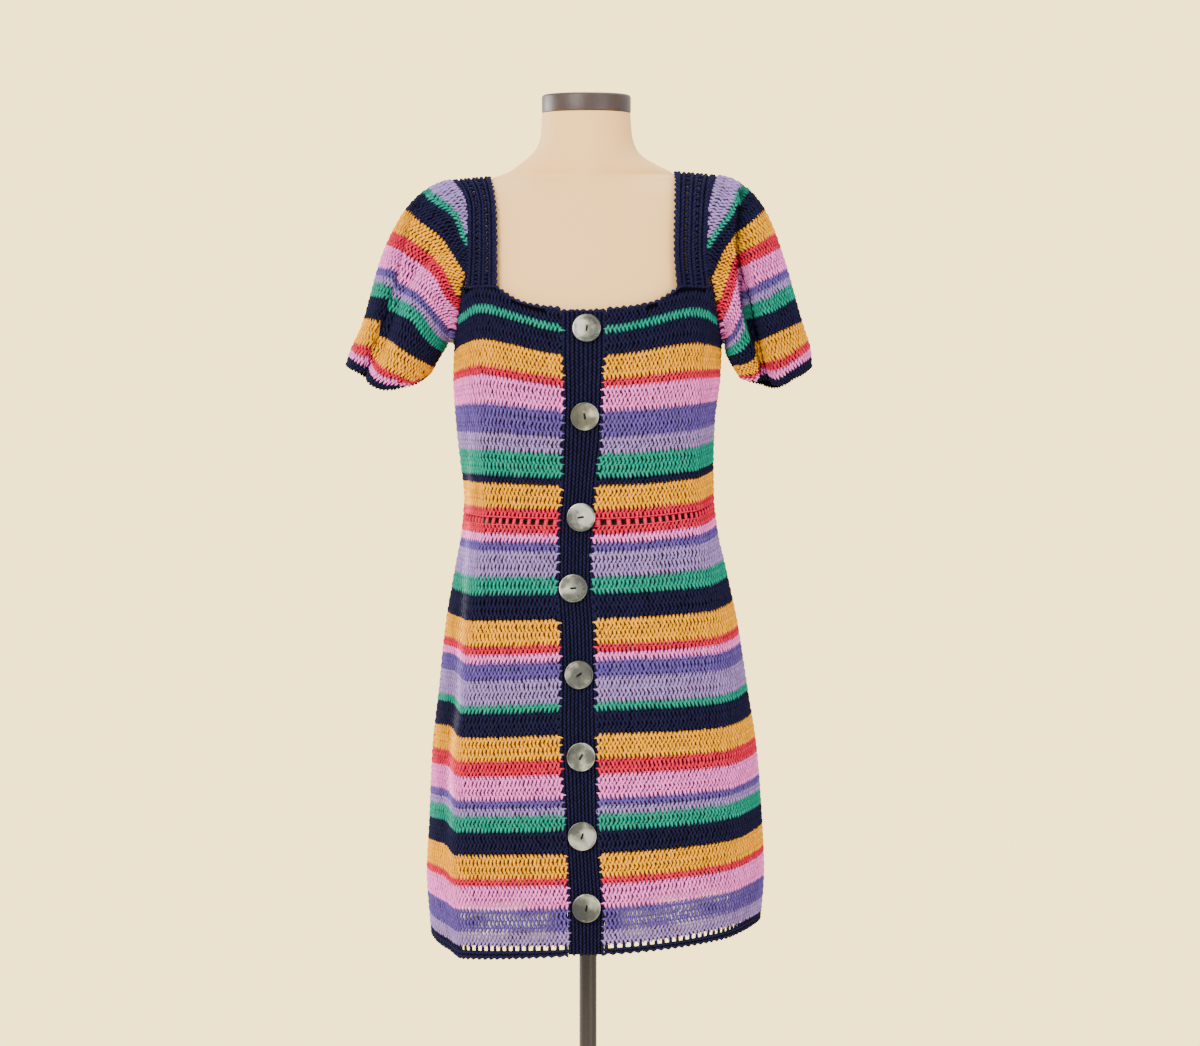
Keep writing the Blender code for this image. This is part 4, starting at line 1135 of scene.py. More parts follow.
# sleeves
sleeves = dict(
    sleeveLeft=dict(columns=sleeveLeft, folds=foldsLeft, strap=strapLeft, side=-1, node="sleeve_left",
                    cuffNode="cuff_left", flat=(0.36, 0.235), area=0.058, cuffFlat=(0.32, 0.011)),
    sleeveRight=dict(columns=sleeveRight, folds=foldsRight, strap=strapRight, side=1, node="sleeve_right",
                     cuffNode="cuff_right", flat=(0.36, 0.235), area=0.056, cuffFlat=(0.32, 0.011)),
)
cuffSizes = dict(start=0.93, middle=0.966, stitches=74, gap=0.003)
sleeveGrid = dict(turns=180, steps=120)  # where the rows are worked out, round the sleeve and down it
# how the rows pass the fold (in metres) and the back (in degrees round the sleeve), turn in under the arm
# and settle to the border from a share of the way down
sleeveWork = dict(foldBlend=0.0014, backFade=(360, 290), curlBegin=(75, 100), curlEnd=(250, 200), settle=0.72,
                  shadowEdge=(-0.0012, 0.0004), cells=(120, 50), cuffCells=(120, 3))


stripeMarks = dict(  # the row that passes each place of a sleeve, outside and inside its long fold
    leftOuter=table(
        "across height row",
        (-0.1637, 1.4063, 1.5), (-0.1709, 1.4029, 2.2), (-0.1780, 1.3986, 3), (-0.1809, 1.3934, 4),
        (-0.2019, 1.3756, 7), (-0.1910, 1.3641, 7.2), (-0.2154, 1.3511, 10), (-0.1967, 1.3396, 10.2),
        (-0.2212, 1.3368, 12), (-0.1996, 1.3238, 12.3), (-0.2298, 1.3115, 15), (-0.2068, 1.3046, 15),
        (-0.2341, 1.2937, 17), (-0.2097, 1.2850, 17), (-0.2370, 1.2793, 19), (-0.2111, 1.2735, 19),
        (-0.2456, 1.2549, 22), (-0.2255, 1.2505, 22), (-0.2571, 1.2304, 25), (-0.2370, 1.2247, 25),
        (-0.2614, 1.2160, 27), (-0.2413, 1.2103, 27),
    ),
    leftInner=table(
        "across height row",
        (-0.1507, 1.4086, 0), (-0.1335, 1.3856, 0), (-0.1297, 1.3655, 1), (-0.1536, 1.3799, 3),
        (-0.1364, 1.3540, 3), (-0.1300, 1.3368, 3), (-0.1665, 1.3770, 4), (-0.1450, 1.3641, 4),
        (-0.1292, 1.3267, 4), (-0.1766, 1.3540, 7), (-0.1507, 1.3281, 7), (-0.1320, 1.2980, 7),
        (-0.1910, 1.3368, 10), (-0.1622, 1.3123, 10), (-0.1479, 1.2850, 10), (-0.1392, 1.2707, 10),
        (-0.1910, 1.3195, 12), (-0.1622, 1.2937, 12), (-0.1407, 1.2649, 12), (-0.2053, 1.2922, 15),
        (-0.1766, 1.2707, 15), (-0.1507, 1.2419, 15), (-0.2111, 1.2750, 17), (-0.1766, 1.2505, 17),
        (-0.1608, 1.2290, 17), (-0.2154, 1.2620, 19), (-0.1910, 1.2505, 19), (-0.1594, 1.2189, 19),
        (-0.2298, 1.2362, 22), (-0.2053, 1.2218, 22), (-0.1622, 1.1988, 22), (-0.2384, 1.2117, 25),
        (-0.2025, 1.1873, 25), (-0.2441, 1.1988, 27), (-0.2111, 1.1816, 27),
    ),
    rightOuter=table(
        "across height row",
        (0.1553, 1.4101, 1), (0.1697, 1.4014, 3), (0.1654, 1.3908, 3), (0.1760, 1.3957, 4),
        (0.1682, 1.3813, 4), (0.1970, 1.3770, 7), (0.1783, 1.3592, 7), (0.1639, 1.3477, 7),
        (0.2056, 1.3497, 10), (0.1812, 1.3325, 10), (0.1611, 1.3224, 10), (0.2114, 1.3325, 12),
        (0.1841, 1.3181, 12), (0.1625, 1.3080, 12), (0.2200, 1.3109, 15), (0.1898, 1.2937, 15),
        (0.1668, 1.2822, 15), (0.2229, 1.2922, 17), (0.1956, 1.2735, 17), (0.1711, 1.2663, 17),
        (0.2272, 1.2778, 19), (0.1984, 1.2592, 19), (0.1740, 1.2534, 19), (0.2344, 1.2505, 22),
        (0.2042, 1.2362, 22), (0.1812, 1.2275, 22), (0.2430, 1.2319, 25), (0.2071, 1.2117, 25),
        (0.1826, 1.2017, 25), (0.2459, 1.2117, 27), (0.2272, 1.2046, 27), (0.1984, 1.1959, 27),
    ),
    rightInner=table(
        "across height row",
        (0.1395, 1.4058, 0), (0.1294, 1.3655, 0.5), (0.1553, 1.3718, 3), (0.1409, 1.3540, 3),
        (0.1271, 1.3304, 3), (0.1596, 1.3670, 4), (0.1424, 1.3440, 4), (0.1266, 1.3181, 4),
        (0.1605, 1.3411, 7), (0.1438, 1.3138, 7), (0.1300, 1.2879, 7), (0.1596, 1.3238, 10),
        (0.1496, 1.2879, 10), (0.1381, 1.2649, 10), (0.1625, 1.2937, 12), (0.1553, 1.2678, 12),
        (0.1481, 1.2505, 12), (0.1668, 1.2563, 15), (0.1582, 1.2390, 15), (0.1510, 1.2319, 15),
        (0.1726, 1.2477, 17), (0.1668, 1.2319, 17), (0.1539, 1.2218, 17), (0.1749, 1.2275, 19),
        (0.1697, 1.2175, 19), (0.1582, 1.2117, 19), (0.1812, 1.2089, 22), (0.1697, 1.2002, 22),
        (0.1553, 1.2031, 22), (0.1783, 1.1902, 25), (0.1654, 1.1931, 25), (0.1956, 1.1931, 27),
        (0.1697, 1.1839, 27),
    ),
)


def rowField(marks):  # smooth field of rows through the marks, which lie about 1 apart once multiplied by 10
    known = np.stack([marks["across"], marks["height"]], axis=-1) * 10
    n = len(known)

    def bend(distance):
        return distance**2 * np.log(distance + 1e-9)

    grid = bend(np.linalg.norm(known[:, None] - known[None], axis=-1)) + np.eye(n) * 0.02
    flat = np.hstack([np.ones((n, 1)), known])
    solved = np.linalg.solve(np.block([[grid, flat], [flat.T, np.zeros((3, 3))]]),
                             np.append(marks["row"], [0, 0, 0]))

    def row(spot):
        at = spot[..., [0, 2]] * 10
        away = bend(np.linalg.norm(at[..., None, :] - known, axis=-1))
        return away @ solved[:n] + solved[n] + at @ solved[n + 1:]
    return row


def sleevePanel(columns, folds, strap, side):
    point = sleeveSurface(columns, folds, strap, side)
    around, steps = sleeveGrid["turns"], sleeveGrid["steps"]
    turns, alongs = np.linspace(0, 360, around + 1), np.linspace(0, 1, steps + 1)
    grid = point(turns[None, :] + 0 * alongs[:, None], alongs[:, None] + 0 * turns[None, :])
    lastRow = len(sleeveStripes) - 4  # the rows after it are the border's
    which = "left" if side < 0 else "right"
    outer, inner = (rowField(stripeMarks[which + part])(grid) for part in ("Outer", "Inner"))
    work = sleeveWork
    behind = ramp(turns, *work["backFade"])[None, :]  # on the back the rows pass over without a fold
    folded = ramp(foldAway(grid, side), work["foldBlend"], -work["foldBlend"])
    rowAt = mix(outer, inner, np.where(turns < 180, folded, behind))
    cuffAt = round(cuffSizes["start"] * steps)
    # under the arm the last rows turn in before the border
    curl = ramp(turns, *work["curlBegin"]) * ramp(turns, *work["curlEnd"])
    endRow = mix(lastRow, np.minimum(rowAt[cuffAt], lastRow), curl)
    rowAt += (endRow - rowAt[cuffAt])[None, :] * ramp(alongs, work["settle"], cuffSizes["start"])[:, None]
    rowAt = np.maximum.accumulate(rowAt, axis=0) + np.arange(steps + 1)[:, None] * 1e-6
    colours = np.array([rowColour(sleeveStripes, row) for row in range(len(sleeveStripes))])

    def onRow(turn, row):  # place down the sleeve where a row crosses a turn round it
        column = np.clip(turn % 360 * (around / 360), 0, around - 0.001)
        k = column.astype(int)
        passed = mix(rowAt[:, k], rowAt[:, k + 1], column - k)
        above = np.clip((passed <= row).sum(axis=0) - 1, 0, steps - 1)
        n = np.arange(len(turn))
        low, high = passed[above, n], passed[above + 1, n]
        return (above + np.clip((row - low) / (high - low), 0, 1)) / steps

    def surface(turn, row):
        turn, row = np.broadcast_arrays(turn, row)
        return point(turn.ravel(), onRow(turn.ravel(), row.ravel())).reshape(*turn.shape, 3)

    def colourAt(turn, along):
        column = np.clip(turn % 360 * (around / 360), 0, around - 0.001).astype(int)
        row = rowAt[np.clip((along * steps).astype(int), 0, steps), column]
        return colours[np.clip(np.floor(row).astype(int), 0, len(colours) - 1)]

    def rowsAt(stitch, level):  # the row that each stitch's place has at a level down the sleeve
        return np.interp(stitch["u"] % 360, turns, rowAt[level])

    cloth = backing(point, (0, 360), (0, cuffSizes["start"]), work["cells"], side, reaches["sleeve"],
                    colourAt, closed=True)
    step = foldSteps[side]
    rows = []
    for row in range(lastRow):
        length = runLength(surface, row + 0.5, 0, 360, 720)
        made = stitchRow(max(6, round(length / stitchSizes["pitch"])), row, colours[row], 0, 360)
        made = evenRow(made, surface, 0, 360)
        away = foldAway(surface(made["u"], made["v"] + 0.5), side)
        # painted shadow cast by the fold's lap on the stitches just outside it, on the sleeve's front
        foldShadow = ramp(away, *work["shadowEdge"]) * np.exp(-np.clip(away, 0, 1) / step["shadowReach"])
        foldShadow = np.where(made["u"] % 360 < 180, step["shadow"] * foldShadow, 0)
        made["tint"] = made["tint"] * (1 - foldShadow)[:, None]
        rows.append(keep(made, (rowsAt(made, 0) < row + 0.6) & (rowsAt(made, cuffAt) > row + 0.4)))
    knit = workStitches(surface, joinRows(rows), bodyLoops, side, reaches["sleeveRows"])

    # the border at the sleeve's mouth
    cuff = backing(point, (0, 360), (cuffSizes["start"] + cuffSizes["gap"], 1.0), work["cuffCells"], side,
                   reaches["sleeve"], plain(navyYarn * borderShade), closed=True)
    rows = []
    for k, (start, end) in enumerate(((cuffSizes["start"], cuffSizes["middle"]), (cuffSizes["middle"], 1.0))):
        made = setStitches(stitchRow(cuffSizes["stitches"], k, navyYarn, 0, 360), v=start, tall=end - start)
        last = np.minimum((rowsAt(made, cuffAt) + 0.5 + k).astype(int), len(colours) - 1)
        made["tint"] = made["tint"] * colours[last] / navyYarn
        rows.append(made)
    edge = workStitches(point, joinRows(rows), bodyLoops, side, reaches["sleeve"])
    return [cloth, knit], [cuff, edge]


for name, sleeve in sleeves.items():
    made, border = sleevePanel(sleeve["columns"], sleeve["folds"], sleeve["strap"], sleeve["side"])
    addPanel(name, made, sleeve["node"], sleeve["flat"], sleeve["area"], ())
    addPanel(name.replace("sleeve", "cuff"), border, sleeve["cuffNode"], sleeve["cuffFlat"], None,
             ())
print("sleeves worked")


# button band
bandSizes = dict(columns=10, stitch=0.0046, length=0.694, lean=0.30, wander=0.004, raised=0.06,
                 cells=(10, 150), flat=(0.040, 0.700))
bandTop = float(rowOf(np.array([270.0]), bodiceTop(np.array([270.0])))[0])


def buttonBand():
    columns = bandSizes["columns"]
    cloth = backing(bandPoint, (0, 1), (bandTop, dress["lastRow"]), bandSizes["cells"], -1, reaches["band"],
                    plain(navyYarn * borderShade))
    count = round(bandSizes["length"] / bandSizes["stitch"])
    step = (dress["lastRow"] - bandTop) / count
    rows = []
    for k in range(columns):  # every second column stands a little higher
        made = stitchRow(count, k, navyYarn, 0, 1)
        setStitches(made, u=(k + 0.5) / columns, wide=1 / columns, tall=step,
                    lean=bandSizes["lean"] * (1 if k % 2 else -1))
        made["u"] += chance.uniform(-bandSizes["wander"], bandSizes["wander"], count)
        made["v"] = bandTop + (np.arange(count) + 0.5 * (k % 2) - 0.25) * step
        made["puff"] = made["puff"] * (1 + bandSizes["raised"] * (1 if k % 2 else -1))
        rows.append(made)
    return [cloth, workStitches(bandPoint, joinRows(rows), ribLoops, -1, reaches["bandRows"])]


# ends of the panels' rows, worked over the band's edges as points
endSizes = dict(rows=(-2, 77), reach=(0.0030, 0.0052), bandWidth=0.037, tall=0.46, height=0.0022, lift=0.0007,
                tip=0.35, within=0.25, tint=0.1, down=0.14, lean=0.1, rise=0.3)


def scatter(amount, shape):
    return chance.uniform(-amount, amount, shape)


def rowEnds():
    ends = []
    for side in (-1, 1):
        rows = np.arange(*endSizes["rows"])
        count = len(rows)
        tints = np.array([rowColour(bodyStripes, row) for row in rows])
        tints = tints * (1 + scatter(endSizes["tint"], (count, 1)))
        reach = chance.uniform(*endSizes["reach"], count) / endSizes["bandWidth"]
        made = dict(
            u=np.full(count, 0.0 if side < 0 else 1.0), v=rows + 0.5 + scatter(endSizes["down"], count),
            wide=reach, lean=scatter(endSizes["lean"], count), rise=scatter(endSizes["rise"], count),
            tint=tints)
        setStitches(made, tall=endSizes["tall"], puff=1.0)
        shape, faces, grooveShade = yarnLoop(1.0, -0.5, 0.5, endSizes["height"], across=True)
        share = np.clip(shape[:, 0] + 0.5, 0, 1)  # from the panel's edge to the tip
        shape[:, 1] *= mix(1.0, endSizes["tip"], share)
        shape[:, 0] = side * (endSizes["within"] - share)
        loop = shape, faces[:, ::-side], grooveShade  # the right side's loops are mirrored, so faces are turned
        ends.append(workStitches(bandPoint, made, [loop], -1, reaches["band"], lift=endSizes["lift"]))
    return joined(ends)


bandPieces = buttonBand()
finishPiece(rowEnds(), "rowEnds", yarnPaint)
addPanel("buttonBand", bandPieces, "button_band", bandSizes["flat"], None)
print("button band worked")


# points and seams, worked along lines
seams = dict(backNeckline=(52, 128), sideHeights=(1.02, 0.74), leftAngle=187.0, rightAngle=0.0,
             strapEnds=(0.004, 0.996), strapEdge=0.1, outside=0.0004, middle=(0.10, 0, 1.30))


# a run is its line, the way out of the cloth along it and the way that its loops point
def lineAt(values, at, along):
    return np.stack([np.interp(at, along, values[:, k]) for k in range(3)], axis=-1)


def runOf(points, gap):  # even places along a line of points
    along = lengthsAlong(points)
    count = max(2, round(along[-1] / gap))
    at = (np.arange(count) + 0.5) / count * along[-1]
    step = lineAt(points, at + 0.001, along) - lineAt(points, at - 0.001, along)
    return lineAt(points, at, along), step / np.linalg.norm(step, axis=1, keepdims=True), along[-1] / count


def edgeLoops(run, colour, pitch, tall, loop):
    points, outwards, towards = run
    shape, faces, grooveShade = loop
    spot, along, wide = runOf(points, pitch)
    n = len(spot)
    out = lineAt(outwards, np.linspace(0, 1, n), np.linspace(0, 1, len(outwards)))
    up = np.cross(along, out)
    up *= np.sign((up * towards).sum(axis=1, keepdims=True)) / np.linalg.norm(up, axis=1, keepdims=True)
    flip = (np.cross(along, -up) * out).sum(axis=1).mean() < 0
    x = shape[:, 0][None, :, None] * wide * along[:, None, :]
    y = -shape[:, 1][None, :, None] * tall * (1 + scatter(0.2, (n, 1, 1))) * up[:, None, :]
    z = shape[:, 2][None, :, None] * out[:, None, :]
    tints = colour * (1 + scatter(0.1, (n, 1, 1))) * grooveShade[None, :, None]
    rings = (faces[:, ::-1] if flip else faces)[None] + (np.arange(n) * len(shape))[:, None, None]
    return (spot[:, None, :] + x + y + z).reshape(-1, 3), rings.reshape(-1, 4), tints.reshape(-1, 3)


def workEdges(runs, colour, pitch, tall, loop):
    points, faces, tints, count = [], [], [], 0
    for run in runs:
        spots, rings, colours = edgeLoops(run, colour, pitch, tall, loop)
        points.append(spots)
        faces.append(rings + count)
        tints.append(colours)
        count += len(spots)
    return yarnMesh(points, faces, tints)


def necklineRuns():
    runs = []
    for side, columns in ((-1, strapLeft), (1, strapRight)):
        share = np.linspace((dress["strapInnerAngle"] + 0.5) / 90, 1.0, 60)
        height = bodiceTop(bodiceAngle(side, share, np.full_like(share, dress["bustHeight"])))
        line = bodyPoint(bodiceAngle(side, share, height), height)
        runs.append((line, np.tile((0, -1, 0), (60, 1)), (0, 0, 1)))
        along = np.linspace(0.01, 0.99, 80)
        strap = strapPoint(columns)
        out = normalsOf(strap, np.full(80, seams["strapEdge"]), along, *reaches["strap"], side)
        runs.append((strap(np.zeros(80), along), out, (-side, 0, 0)))
    top = bandPoint(np.linspace(0.0, 1.0, 20), np.full(20, bandTop + 0.1)) + (0, -0.0006, 0)
    runs.append((top, np.tile((0, -1, 0), (20, 1)), (0, 0, 1)))
    angle = np.linspace(*seams["backNeckline"], 120)
    runs.append((bodyPoint(angle, bodiceTop(angle)), np.tile((0, 1, 0), (120, 1)), (0, 0, 1)))
    return runs


def armholeRuns():  # the stitches that join a sleeve to its strap and bodice, and a strap to the bodice
    runs = []
    for side, columns in ((-1, strapLeft), (1, strapRight)):
        ring = armholeRing(columns, side)
        ring = np.concatenate([ring, ring[:1]]) + (side * seams["outside"], 0, 0)
        x, y, z = seams["middle"]  # the armhole's loops stand away from this point in the shoulder
        out = ring - (side * x, y, z)
        runs.append((ring, out / np.linalg.norm(out, axis=1, keepdims=True), (side, 0, 0)))
        strap, across = strapPoint(columns), np.linspace(-0.03, 1.03, 12)
        for along in seams["strapEnds"]:
            end = np.full(12, along)
            out = normalsOf(strap, across, end, *reaches["strapEnd"], side)
            runs.append((strap(across, end), out, (0, 0, 1)))
    return runs


def sideRuns():  # small navy stitches down the side seams, dimmed as painted shade of the seams' holes
    height = np.linspace(*seams["sideHeights"], 60)
    return [(bodyPoint(np.full(60, angle), height), np.tile((side, 0, 0), (60, 1)), (0, -1, 0))
            for angle, side in ((seams["leftAngle"], -1), (seams["rightAngle"], 1))]


edges = dict(
    # the side seams' navy is dimmed as painted shade
    sideSeams=dict(runs=sideRuns, shade=0.8, pitch=0.0087, tall=0.0034,
                   loop=yarnLoop(0.36, 0.8, -0.8, 0.0026, tip=(0.7, 0.7), shade=0.5, slant=0.2)),
    necklinePicots=dict(runs=necklineRuns, shade=1.15, pitch=0.0074, tall=0.0030,
                        loop=yarnLoop(0.98, 0.35, -1.0, 0.0019, tip=(1.0, 0.16), cells=(4, 4), shade=0.7)),
    armholeSeams=dict(runs=armholeRuns, shade=1.0, pitch=0.0046, tall=0.0034,
                      loop=yarnLoop(1.0, 0.5, -0.5, 0.0024, tip=(0.8, 0.8), shade=0.4, slant=0.3)),
)
for name, edge in edges.items():
    worked = workEdges(edge["runs"](), navyYarn * edge["shade"], edge["pitch"], edge["tall"], edge["loop"])
    finishPiece(worked, name, yarnPaint)
print("points and seams worked")


# buttons
buttonSizes = dict(
    radius=0.0154, thickness=0.0030, rim=0.0013, step=0.0007, ring=0.004, dish=0.0002, round=0.0006,
    slotLength=0.0070, slotWidth=0.0021, slotDepth=0.0090, slotRound=0.0008, gap=0.0006,
)
buttonFit = dict(inside=0.0012, bearings=32, ridge=0.0012, ridges=5, leanShare=0.5)  # on the band's ribs
threadSizes = dict(radius=0.0024, thickness=0.00034, apart=0.00042, height=0.0014, flat=0.62, twist=0.10,
                   colour=(0.008, 0.008, 0.012))


def makeButton():  # flat round button with a raised rim and a slot for the thread
    size = buttonSizes
    deselect()
    bpy.ops.mesh.primitive_cylinder_add(vertices=56, radius=size["radius"], depth=size["thickness"],
                                        location=(0, 0, 0.5 * size["thickness"]))
    made = bpy.context.object
    bpy.ops.object.transform_apply(location=True)
    editFaces(made, lambda face: face.normal.z > 0.9)
    bpy.ops.mesh.inset(thickness=size["rim"])
    bpy.ops.mesh.inset(thickness=size["step"])
    bpy.ops.transform.translate(value=(0, 0, -size["step"]))
    for _ in range(2):
        bpy.ops.mesh.inset(thickness=size["ring"])
    bpy.ops.transform.translate(value=(0, 0, -size["dish"]))
    bpy.ops.object.mode_set(mode="OBJECT")
    modify(made, "BEVEL", width=size["round"], segments=3, limit_method="ANGLE", angle_limit=math.radians(50))
    deselect()
    bpy.ops.mesh.primitive_cube_add(size=1, location=(0, 0, size["thickness"]))
    slot = bpy.context.object
    slot.scale = (size["slotLength"], size["slotWidth"], size["slotDepth"])
    bpy.ops.object.transform_apply(scale=True, location=True)
    modify(slot, "BEVEL", width=size["slotRound"], segments=3, affect="EDGES")
    modify(made, "BOOLEAN", operation="DIFFERENCE", object=slot)
    bpy.data.objects.remove(slot)
    return smooth(made, 35)


def makeThread():  # turns of sewing thread through the slot
    size = threadSizes
    turns = []
    for k in (-1, 0, 1):
        deselect()
        bpy.ops.mesh.primitive_torus_add(
            major_segments=28, minor_segments=8, major_radius=size["radius"], minor_radius=size["thickness"],
            location=(0, k * size["apart"], size["height"] + 0.0001 * (k + 1)),
            rotation=(math.pi / 2, 0, size["twist"] * k))
        turn = bpy.context.object
        turn.scale = (1.0, size["flat"], 1.0)
        bpy.ops.object.transform_apply(location=True, rotation=True, scale=True)
        turns.append(turn)
    made = only(joined(turns))
    bpy.ops.object.shade_smooth()
    return made


def buttonPlace(across, height, lean, turn):  # a button lies on the band's highest stitches under its rim
    bandRow = rowOf(np.array([270.0]), np.array([height]))
    left, right = (read(bandEdges, "height", name, np.array([height])) for name in ("left", "right"))
    share = (across - left) / (right - left)
    normal = Vector(normalsOf(bandPoint, share, bandRow, *reaches["button"], -1)[0])
    normal = (normal + Vector((math.sin(math.radians(lean)) * buttonFit["leanShare"], 0, 0))).normalized()
    middle = Vector(bandPoint(share, bandRow)[0])
    bearing = np.linspace(0, 2 * math.pi, buttonFit["bearings"], endpoint=False)
    rim = buttonSizes["radius"] - buttonFit["inside"]
    x, z = across + rim * np.cos(bearing), height + rim * np.sin(bearing)
    left, right = (read(bandEdges, "height", name, z) for name in ("left", "right"))
    wave = np.cos(2 * math.pi * buttonFit["ridges"] * (x - left) / (right - left))
    raised = 0.5 * buttonFit["ridge"] * (1 - wave)
    under = bodyPoint(angleAt(x, z), z)
    reach = max(0, float(((under - np.array(middle)) @ np.array(normal) + raised).max()))
    facing = normal.to_track_quat("Z", "Y").to_matrix().to_4x4()
    lifted = Matrix.Translation(middle + normal * (reach + buttonSizes["gap"]))
    return lifted @ facing @ Matrix.Rotation(math.radians(turn), 4, "Z")


def copyPiece(source):
    copy = source.copy()
    copy.data = source.data.copy()
    bpy.context.collection.objects.link(copy)
    return copy


button, thread = makeButton(), makeThread()
for k, (across, height, lean, turn) in enumerate(zip(*buttonPlaces.values()), start=1):
    shell, sewn = copyPiece(button), copyPiece(thread)
    co = places(shell)
    co[:, 2] += 0.03 * k  # another part of the shell's figure for each button
    shell.data.attributes.new("disc", "FLOAT_VECTOR", "POINT").data.foreach_set("vector", co.ravel())
    tint(sewn, np.tile(threadSizes["colour"], (len(sewn.data.vertices), 1)))
    for piece in (shell, sewn):
        piece.data.transform(buttonPlace(across, height, lean, turn))
        piece.data.update()
    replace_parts(finishPiece(shell, f"shellButton{k}", buttonPaint), f"button_{k}")
    finishPiece(sewn, f"buttonThread{k}", threadPaint)
bpy.data.objects.remove(button)
bpy.data.objects.remove(thread)
print("buttons sewn on")


# the form and its stand
stand = dict(capRadius=0.0490, capBottom=1.4800, capTop=1.5000, capAcross=-0.0018, poleRadius=0.0095,
             poleBottom=0.0665, poleTop=0.6997, baseRadius=0.150, baseHeight=0.016, collarRadius=0.020,
             collarHeight=0.050, ringStep=0.012)


def stackRings(vertices, rings, shaped, degrees):  # a disc, extruded ring by ring and set to its shape
    deselect()
    bpy.ops.mesh.primitive_circle_add(vertices=vertices, radius=1, fill_type="NGON")
    piece = bpy.context.object
    editAll(piece)
    for _ in range(rings - 1):
        bpy.ops.mesh.extrude_region_move(TRANSFORM_OT_translate=dict(value=(0, 0, 1)))
    bpy.ops.object.mode_set(mode="OBJECT")
    co = places(piece)
    place(piece, shaped(co, np.rint(co[:, 2]).astype(int)))
    editAll(piece)
    bpy.ops.mesh.normals_make_consistent(inside=False)
    bpy.ops.object.mode_set(mode="OBJECT")
    return smooth(piece, degrees)


def makeTorso():
    knots = torso["height"]
    heights = [height for a, b in zip(knots, knots[1:])
               for height in np.linspace(a, b, max(2, int((b - a) / stand["ringStep"])) + 1)[:-1]]
    heights = np.array(heights + [knots[-1]])

    def shaped(co, level):
        angle = np.degrees(np.arctan2(co[:, 1], co[:, 0])) % 360
        return sectionPoint(torso, angle, heights[level])

    return stackRings(96, len(heights), shaped, 50)


def turnedPiece(profile, steps, across=0.0):  # profile of radius and height, spun round the pole's line
    radius, height = np.array(profile).T

    def shaped(co, level):
        return np.stack([co[:, 0] * radius[level] + across, co[:, 1] * radius[level], height[level]], axis=-1)

    return stackRings(steps, len(profile), shaped, 40)


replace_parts(finishPiece(makeTorso(), "bodyForm", formPaint), "form_torso")
r, low, high = stand["capRadius"], stand["capBottom"], stand["capTop"]
cap = turnedPiece([
    (r - 0.0015, low), (r - 0.0003, low + 0.0006), (r, low + 0.002), (r, high - 0.003),
    (r - 0.0006, high - 0.0012), (r - 0.0022, high - 0.0002), (r - 0.005, high), (0.02, high),
], 96, stand["capAcross"])
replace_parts(finishPiece(cap, "neckCap", capPaint), "form_neck_cap")
print("form made")
r, low, high = stand["poleRadius"], stand["poleBottom"], stand["poleTop"]
pole = turnedPiece([(r - 0.0008, low), (r, low + 0.0008), (r, high - 0.0008), (r - 0.0008, high)], 48)
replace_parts(finishPiece(pole, "formPole", metalPaint), "form_pole")
top = stand["baseHeight"] + stand["collarHeight"]
collar, rim = stand["collarRadius"], stand["baseRadius"]
base = turnedPiece([
    (rim - 0.012, 0.0), (rim - 0.002, 0.0), (rim - 0.0006, 0.0012), (rim, 0.004), (rim - 0.001, 0.0064),
    (rim - 0.004, 0.0078), (rim - 0.020, 0.0100), (0.090, 0.0128), (0.050, 0.0150), (collar + 0.012, 0.0162),
    (collar + 0.006, 0.0186), (collar + 0.0022, 0.0235), (collar + 0.0006, 0.032), (collar, top - 0.004),
    (collar - 0.001, top - 0.0012), (collar - 0.004, top), (0.0105, top), (0.0103, top - 0.001),
], 128)
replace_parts(finishPiece(base, "formBase", metalPaint), "form_base")
print("stand made")


# floor, light and camera
floorSizes = dict(radius=4.0, under=0.0005)
deselect()
bpy.ops.mesh.primitive_circle_add(vertices=128, radius=floorSizes["radius"], fill_type="NGON",
                                  location=(0, 0, -floorSizes["under"]))
floor = bpy.context.object
bpy.ops.object.transform_apply(location=True)
floor.name = "studioFloor"
floor.data.materials.append(floorPaint())

air = dict(soft=((1.0, 0.97, 0.92, 1), 1.15), wall=((1.0, 0.765, 0.30, 1), 3.95))  # colours and strengths
world = bpy.data.worlds.new("studio")
bpy.context.scene.world = world
world.use_nodes = True
tree = world.node_tree
soft, wall = tree.nodes["Background"], tree.nodes.new("ShaderNodeBackground")
for lit, (colour, strength) in ((soft, air["soft"]), (wall, air["wall"])):
    lit.inputs["Color"].default_value, lit.inputs["Strength"].default_value = colour, strength
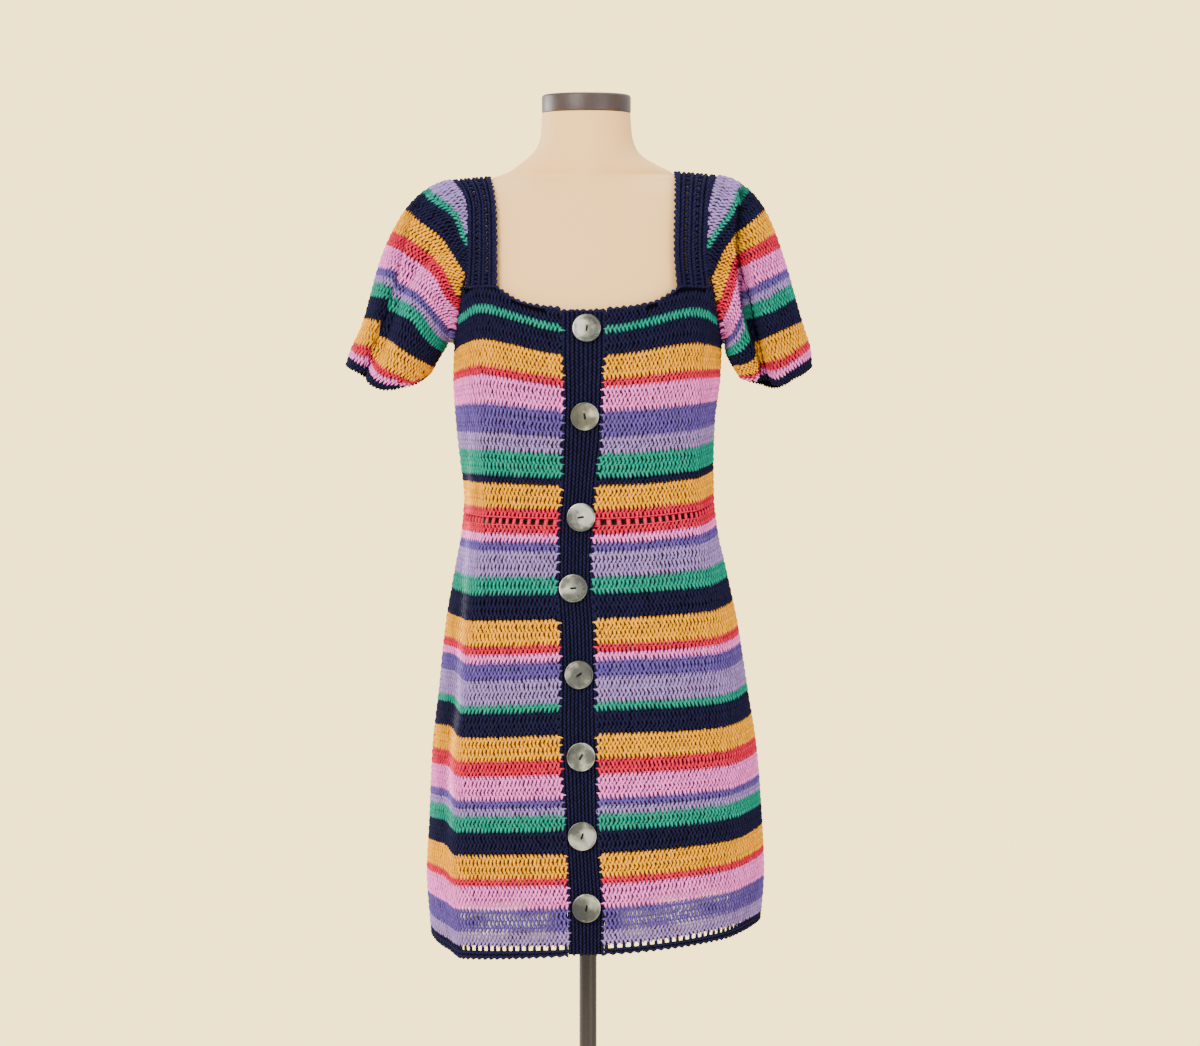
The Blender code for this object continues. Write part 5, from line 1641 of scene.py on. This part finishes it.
# soft white light all round, and the pale cream wall that the camera sees
choice, ray = tree.nodes.new("ShaderNodeMixShader"), tree.nodes.new("ShaderNodeLightPath")
tree.links.new(ray.outputs["Is Camera Ray"], choice.inputs[0])
tree.links.new(soft.outputs[0], choice.inputs[1])
tree.links.new(wall.outputs[0], choice.inputs[2])
tree.links.new(choice.outputs[0], tree.nodes["World Output"].inputs["Surface"])

lamps = dict(
    key=dict(at=(-1.9, -3.6, 3.0), aim=(0, 0, 1.0), size=2.2, power=230, colour=(1.0, 0.97, 0.93)),
    fill=dict(at=(2.8, -3.2, 1.6), aim=(0, 0, 0.95), size=2.6, power=80, colour=(0.97, 0.98, 1.0)),
    rimLeft=dict(at=(-2.8, 1.4, 1.5), aim=(0, 0, 0.9), size=1.6, power=110, colour=(1.0, 0.98, 0.95)),
    top=dict(at=(0.3, 0.6, 3.6), aim=(0, 0, 1.1), size=1.8, power=60, colour=(1.0, 0.98, 0.96)),
)
for name, lamp in lamps.items():
    deselect()
    bpy.ops.object.light_add(type="AREA", location=lamp["at"])
    light = bpy.context.object
    light.name = name + "Light"
    light.data.size, light.data.energy, light.data.color = lamp["size"], lamp["power"], lamp["colour"]
    light.rotation_euler = (Vector(lamp["aim"]) - Vector(lamp["at"])).to_track_quat("-Z", "Y").to_euler()

view = dict(across=0.0132, away=6.3, height=1.0292, shown=1.32, sensor=36.0)  # shown is the picture's width
deselect()
bpy.ops.object.camera_add(location=(view["across"], -view["away"], view["height"]),
                          rotation=(math.pi / 2, 0, 0))
camera = bpy.context.object
camera.data.sensor_width, camera.data.lens = view["sensor"], view["sensor"] * view["away"] / view["shown"]
bpy.context.scene.camera = camera
bpy.context.view_layer.update()
print("stage set")

for where in ("FrontLeft", "FrontRight", "Back"):  # the narrow waist row belongs to the skirt's cut
    row = sheets.pop("waist" + where)
    sheets["skirt" + where]["pieces"] += [row["cloth"]] + row["pieces"]
for name, sheet in sheets.items():
    area = sum(face.area for face in sheet["cloth"].data.polygons) / 2
    print(f"{name}: {area:.4f} m2 of {sheet['area'] or sheet['flat'][0] * sheet['flat'][1]:.4f}")
